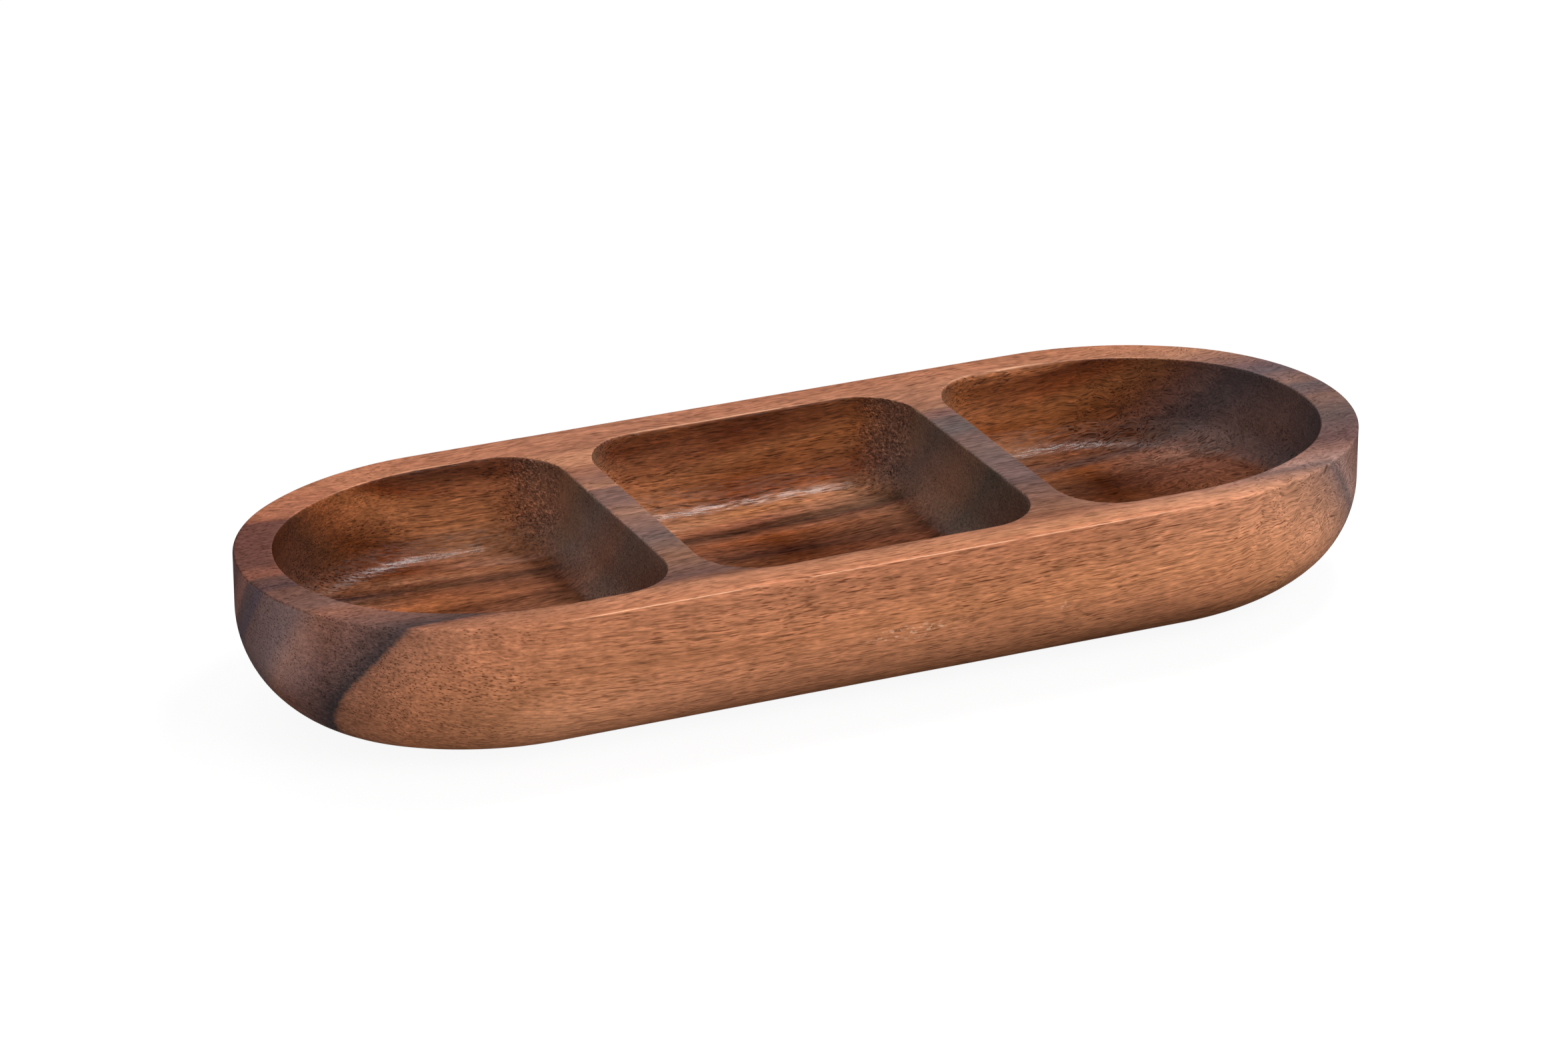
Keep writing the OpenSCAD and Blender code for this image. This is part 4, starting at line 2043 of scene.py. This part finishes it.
    def build(
        self, finishes: dict[Zone, Finish], hand: HandFinish, groups: TimberGroups
    ) -> bpy.types.Object:
        """Makes the board and dresses it.

        Args:
            finishes: The finish of each zone.
            hand: The hand finish.
            groups: The shared timber groups.

        Returns:
            The finished board.
        """
        skin = self.skin()
        mesh = skin.mesh("server_board")
        piece = bpy.data.objects.new("server_board", mesh)
        bpy.context.scene.collection.objects.link(piece)
        dress = {zone: made.material(groups) for zone, made in finishes.items()}
        for made in dress.values():
            mesh.materials.append(made)
        hand.applied(piece, dress)
        return piece


# --------------------------------------------------------------------------
# Studio
# --------------------------------------------------------------------------


@dataclass(frozen=True)
class Lamp:
    """A square soft light that looks at the board.

    Attributes:
        name: Its name.
        way: The way to it from the board.
        away: How far it hangs, in metres.
        size: Its side, in metres.
        power: Its power, in watts.
        mirrored: Whether the board mirrors it.
    """

    name: str
    way: tuple[float, float, float]
    away: float
    size: float
    power: float
    mirrored: bool = False

    def hang(self, aim: Vector) -> None:
        """Hangs the lamp.

        Args:
            aim: The point it looks at.
        """
        light = bpy.data.lights.new(self.name, "AREA")
        light.shape, light.size, light.energy = "SQUARE", self.size, self.power
        lamp = bpy.data.objects.new(self.name, light)
        lamp.visible_glossy = self.mirrored
        way = Vector(self.way).normalized()
        lamp.matrix_world = Matrix.Translation(aim + way * self.away) @ (
            (-way).to_track_quat("-Z", "Y").to_matrix().to_4x4()
        )
        bpy.context.scene.collection.objects.link(lamp)


@dataclass(frozen=True)
class Studio:
    """A pale floor, plain soft light and a white surround.

    Attributes:
        ambient: How strongly the surround lights the board.
        floor_size: The floor's side, in metres.
        floor_shade: The paper's own grey.
        floor_gloss: The paper's roughness.
        floor_lift: How far the paper is lifted to white for the camera.
        lamps: The lamps.
    """

    ambient: float = 0.10
    floor_size: float = 8.0
    floor_shade: float = 0.08
    floor_gloss: float = 0.9
    floor_lift: float = 0.91
    lamps: tuple[Lamp, ...] = (
        Lamp("overhead_lamp", (0.38, 0.13, 0.91), 1.3, 0.28, 8.0, True),
        Lamp("back_lamp", (0.02, 0.38, 0.92), 1.6, 0.50, 3.0, True),
        Lamp("left_lamp", (-0.55, -0.10, 0.83), 1.5, 1.0, 2.0),
        Lamp("front_lamp", (0.45, -0.66, 0.60), 1.7, 1.1, 23.0),
        Lamp("rear_lamp", (-0.15, 0.85, 0.50), 1.7, 1.2, 5.0),
        Lamp("low_card", (-0.70, -0.70, 0.12), 0.45, 0.14, 0.60),
        Lamp("right_card", (0.85, -0.52, 0.12), 0.45, 0.14, 0.12),
    )

    def build(self, aim: Vector) -> None:
        """Makes the floor, the world and the lamps.

        Args:
            aim: The middle of the board.
        """
        self._world()
        half = self.floor_size / 2
        mesh = bpy.data.meshes.new("studio_floor")
        corners = [(-half, -half, 0), (half, -half, 0), (half, half, 0), (-half, half, 0)]
        mesh.from_pydata(corners, [], [(0, 1, 2, 3)])
        floor = bpy.data.objects.new("studio_floor", mesh)
        bpy.context.scene.collection.objects.link(floor)
        mesh.materials.append(self._paper())
        for lamp in self.lamps:
            lamp.hang(aim)

    def _world(self) -> None:
        """A white surround that lights the board less than it shows."""
        world = bpy.data.worlds.new("studio_surround")
        world.use_nodes = True
        bpy.context.scene.world = world
        w = Wiring(world.node_tree)
        seen = self._seen(w)
        back = world.node_tree.nodes["Background"]
        back.inputs["Color"].default_value = WHITE
        w.feed(back.inputs["Strength"], w.linear(seen, (0.0, 1.0), (self.ambient, 1.0)))

    @staticmethod
    def _seen(w: Wiring) -> Socket:
        """Which rays show the surround instead of lighting with it.

        Args:
            w: The tree's wiring.

        Returns:
            1 for a ray that shows it and 0 for any other.
        """
        ray = w.add("ShaderNodeLightPath").outputs
        seen = w.sums("MAXIMUM", ray["Is Camera Ray"], ray["Is Transmission Ray"])
        return w.sums("MAXIMUM", seen, ray["Is Glossy Ray"])

    def _paper(self) -> bpy.types.Material:
        """The floor's paper, lifted to white for the camera.

        Returns:
            The material.
        """
        made = bpy.data.materials.new("studio_paper")
        made.use_nodes = True
        w = Wiring(made.node_tree)
        shader = made.node_tree.nodes["Principled BSDF"]
        shader.inputs["Base Color"].default_value = (self.floor_shade,) * 3 + (1.0,)
        shader.inputs["Roughness"].default_value = self.floor_gloss
        shader.inputs["Emission Color"].default_value = WHITE
        lift = w.sums("MULTIPLY", self._seen(w), self.floor_lift)
        w.feed(shader.inputs["Emission Strength"], lift)
        return made


@dataclass(frozen=True)
class StudioCamera:
    """The camera, placed by its angles round the middle of the rim.

    Attributes:
        azimuth: Its turn round the board, in degrees.
        elevation: Its height above the horizon, in degrees.
        away: Its distance, in board lengths.
        slide: How far it is moved sideways and up, in board lengths.
        lens: Its focal length, in millimetres.
        sensor: The width of its sensor, in millimetres.
        clip: The nearest and the farthest it sees, in metres.
    """

    azimuth: float = -24.57284
    elevation: float = 22.90777
    away: float = 5.275302
    slide: tuple[float, float] = (-0.02087375, -0.03639595)
    lens: float = 145.0132653
    sensor: float = 36.0
    clip: Span = (0.05, 50.0)

    def build(self, rim_middle: Vector, length: float) -> None:
        """Makes the camera.

        Args:
            rim_middle: The middle of the rim's plane.
            length: The board's length, in metres.
        """
        turn, lift = math.radians(self.azimuth), math.radians(self.elevation)
        right = Vector((math.cos(turn), math.sin(turn), 0.0))
        back = Vector(
            (
                math.sin(turn) * math.cos(lift),
                -math.cos(turn) * math.cos(lift),
                math.sin(lift),
            )
        )
        up = back.cross(right)
        data = bpy.data.cameras.new("studio_camera")
        data.sensor_fit, data.sensor_width = "HORIZONTAL", self.sensor
        data.lens = self.lens
        data.clip_start, data.clip_end = self.clip
        camera = bpy.data.objects.new("studio_camera", data)
        spot = back * self.away + right * self.slide[0] + up * self.slide[1]
        frame_axes = Matrix((right, up, back)).transposed().to_4x4()
        camera.matrix_world = Matrix.Translation(rim_middle + spot * length) @ frame_axes
        bpy.context.scene.collection.objects.link(camera)
        bpy.context.scene.camera = camera


def main() -> None:
    """Builds the board, the studio and the camera."""
    logging.basicConfig(level=logging.INFO, format="%(name)s: %(message)s")
    low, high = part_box("tray_body")
    length = 2 * round(high.x / MM)
    board = ServerBoard(length / 2, high.y / MM, high.z / MM)
    finishes = {
        Zone.RIM: SANDED,
        Zone.SIDE: RUBBED,
        Zone.WELL: OILED,
        Zone.BASE: PLAIN,
    }
    piece = board.build(finishes, HandFinish(), TimberGroups())
    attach(piece, "root")
    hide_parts("tray_body")
    LOG.info("%s: %d faces", piece.name, len(piece.data.polygons))
    Studio().build(Vector((0.0, 0.0, high.z / 2)))
    LOG.info("studio: floor, surround and lamps")
    StudioCamera().build(Vector((0.0, 0.0, high.z)), length * MM)
    LOG.info("camera: placed")
    bpy.context.scene.view_settings.view_transform = "Standard"


if __name__ == "__main__":
    main()
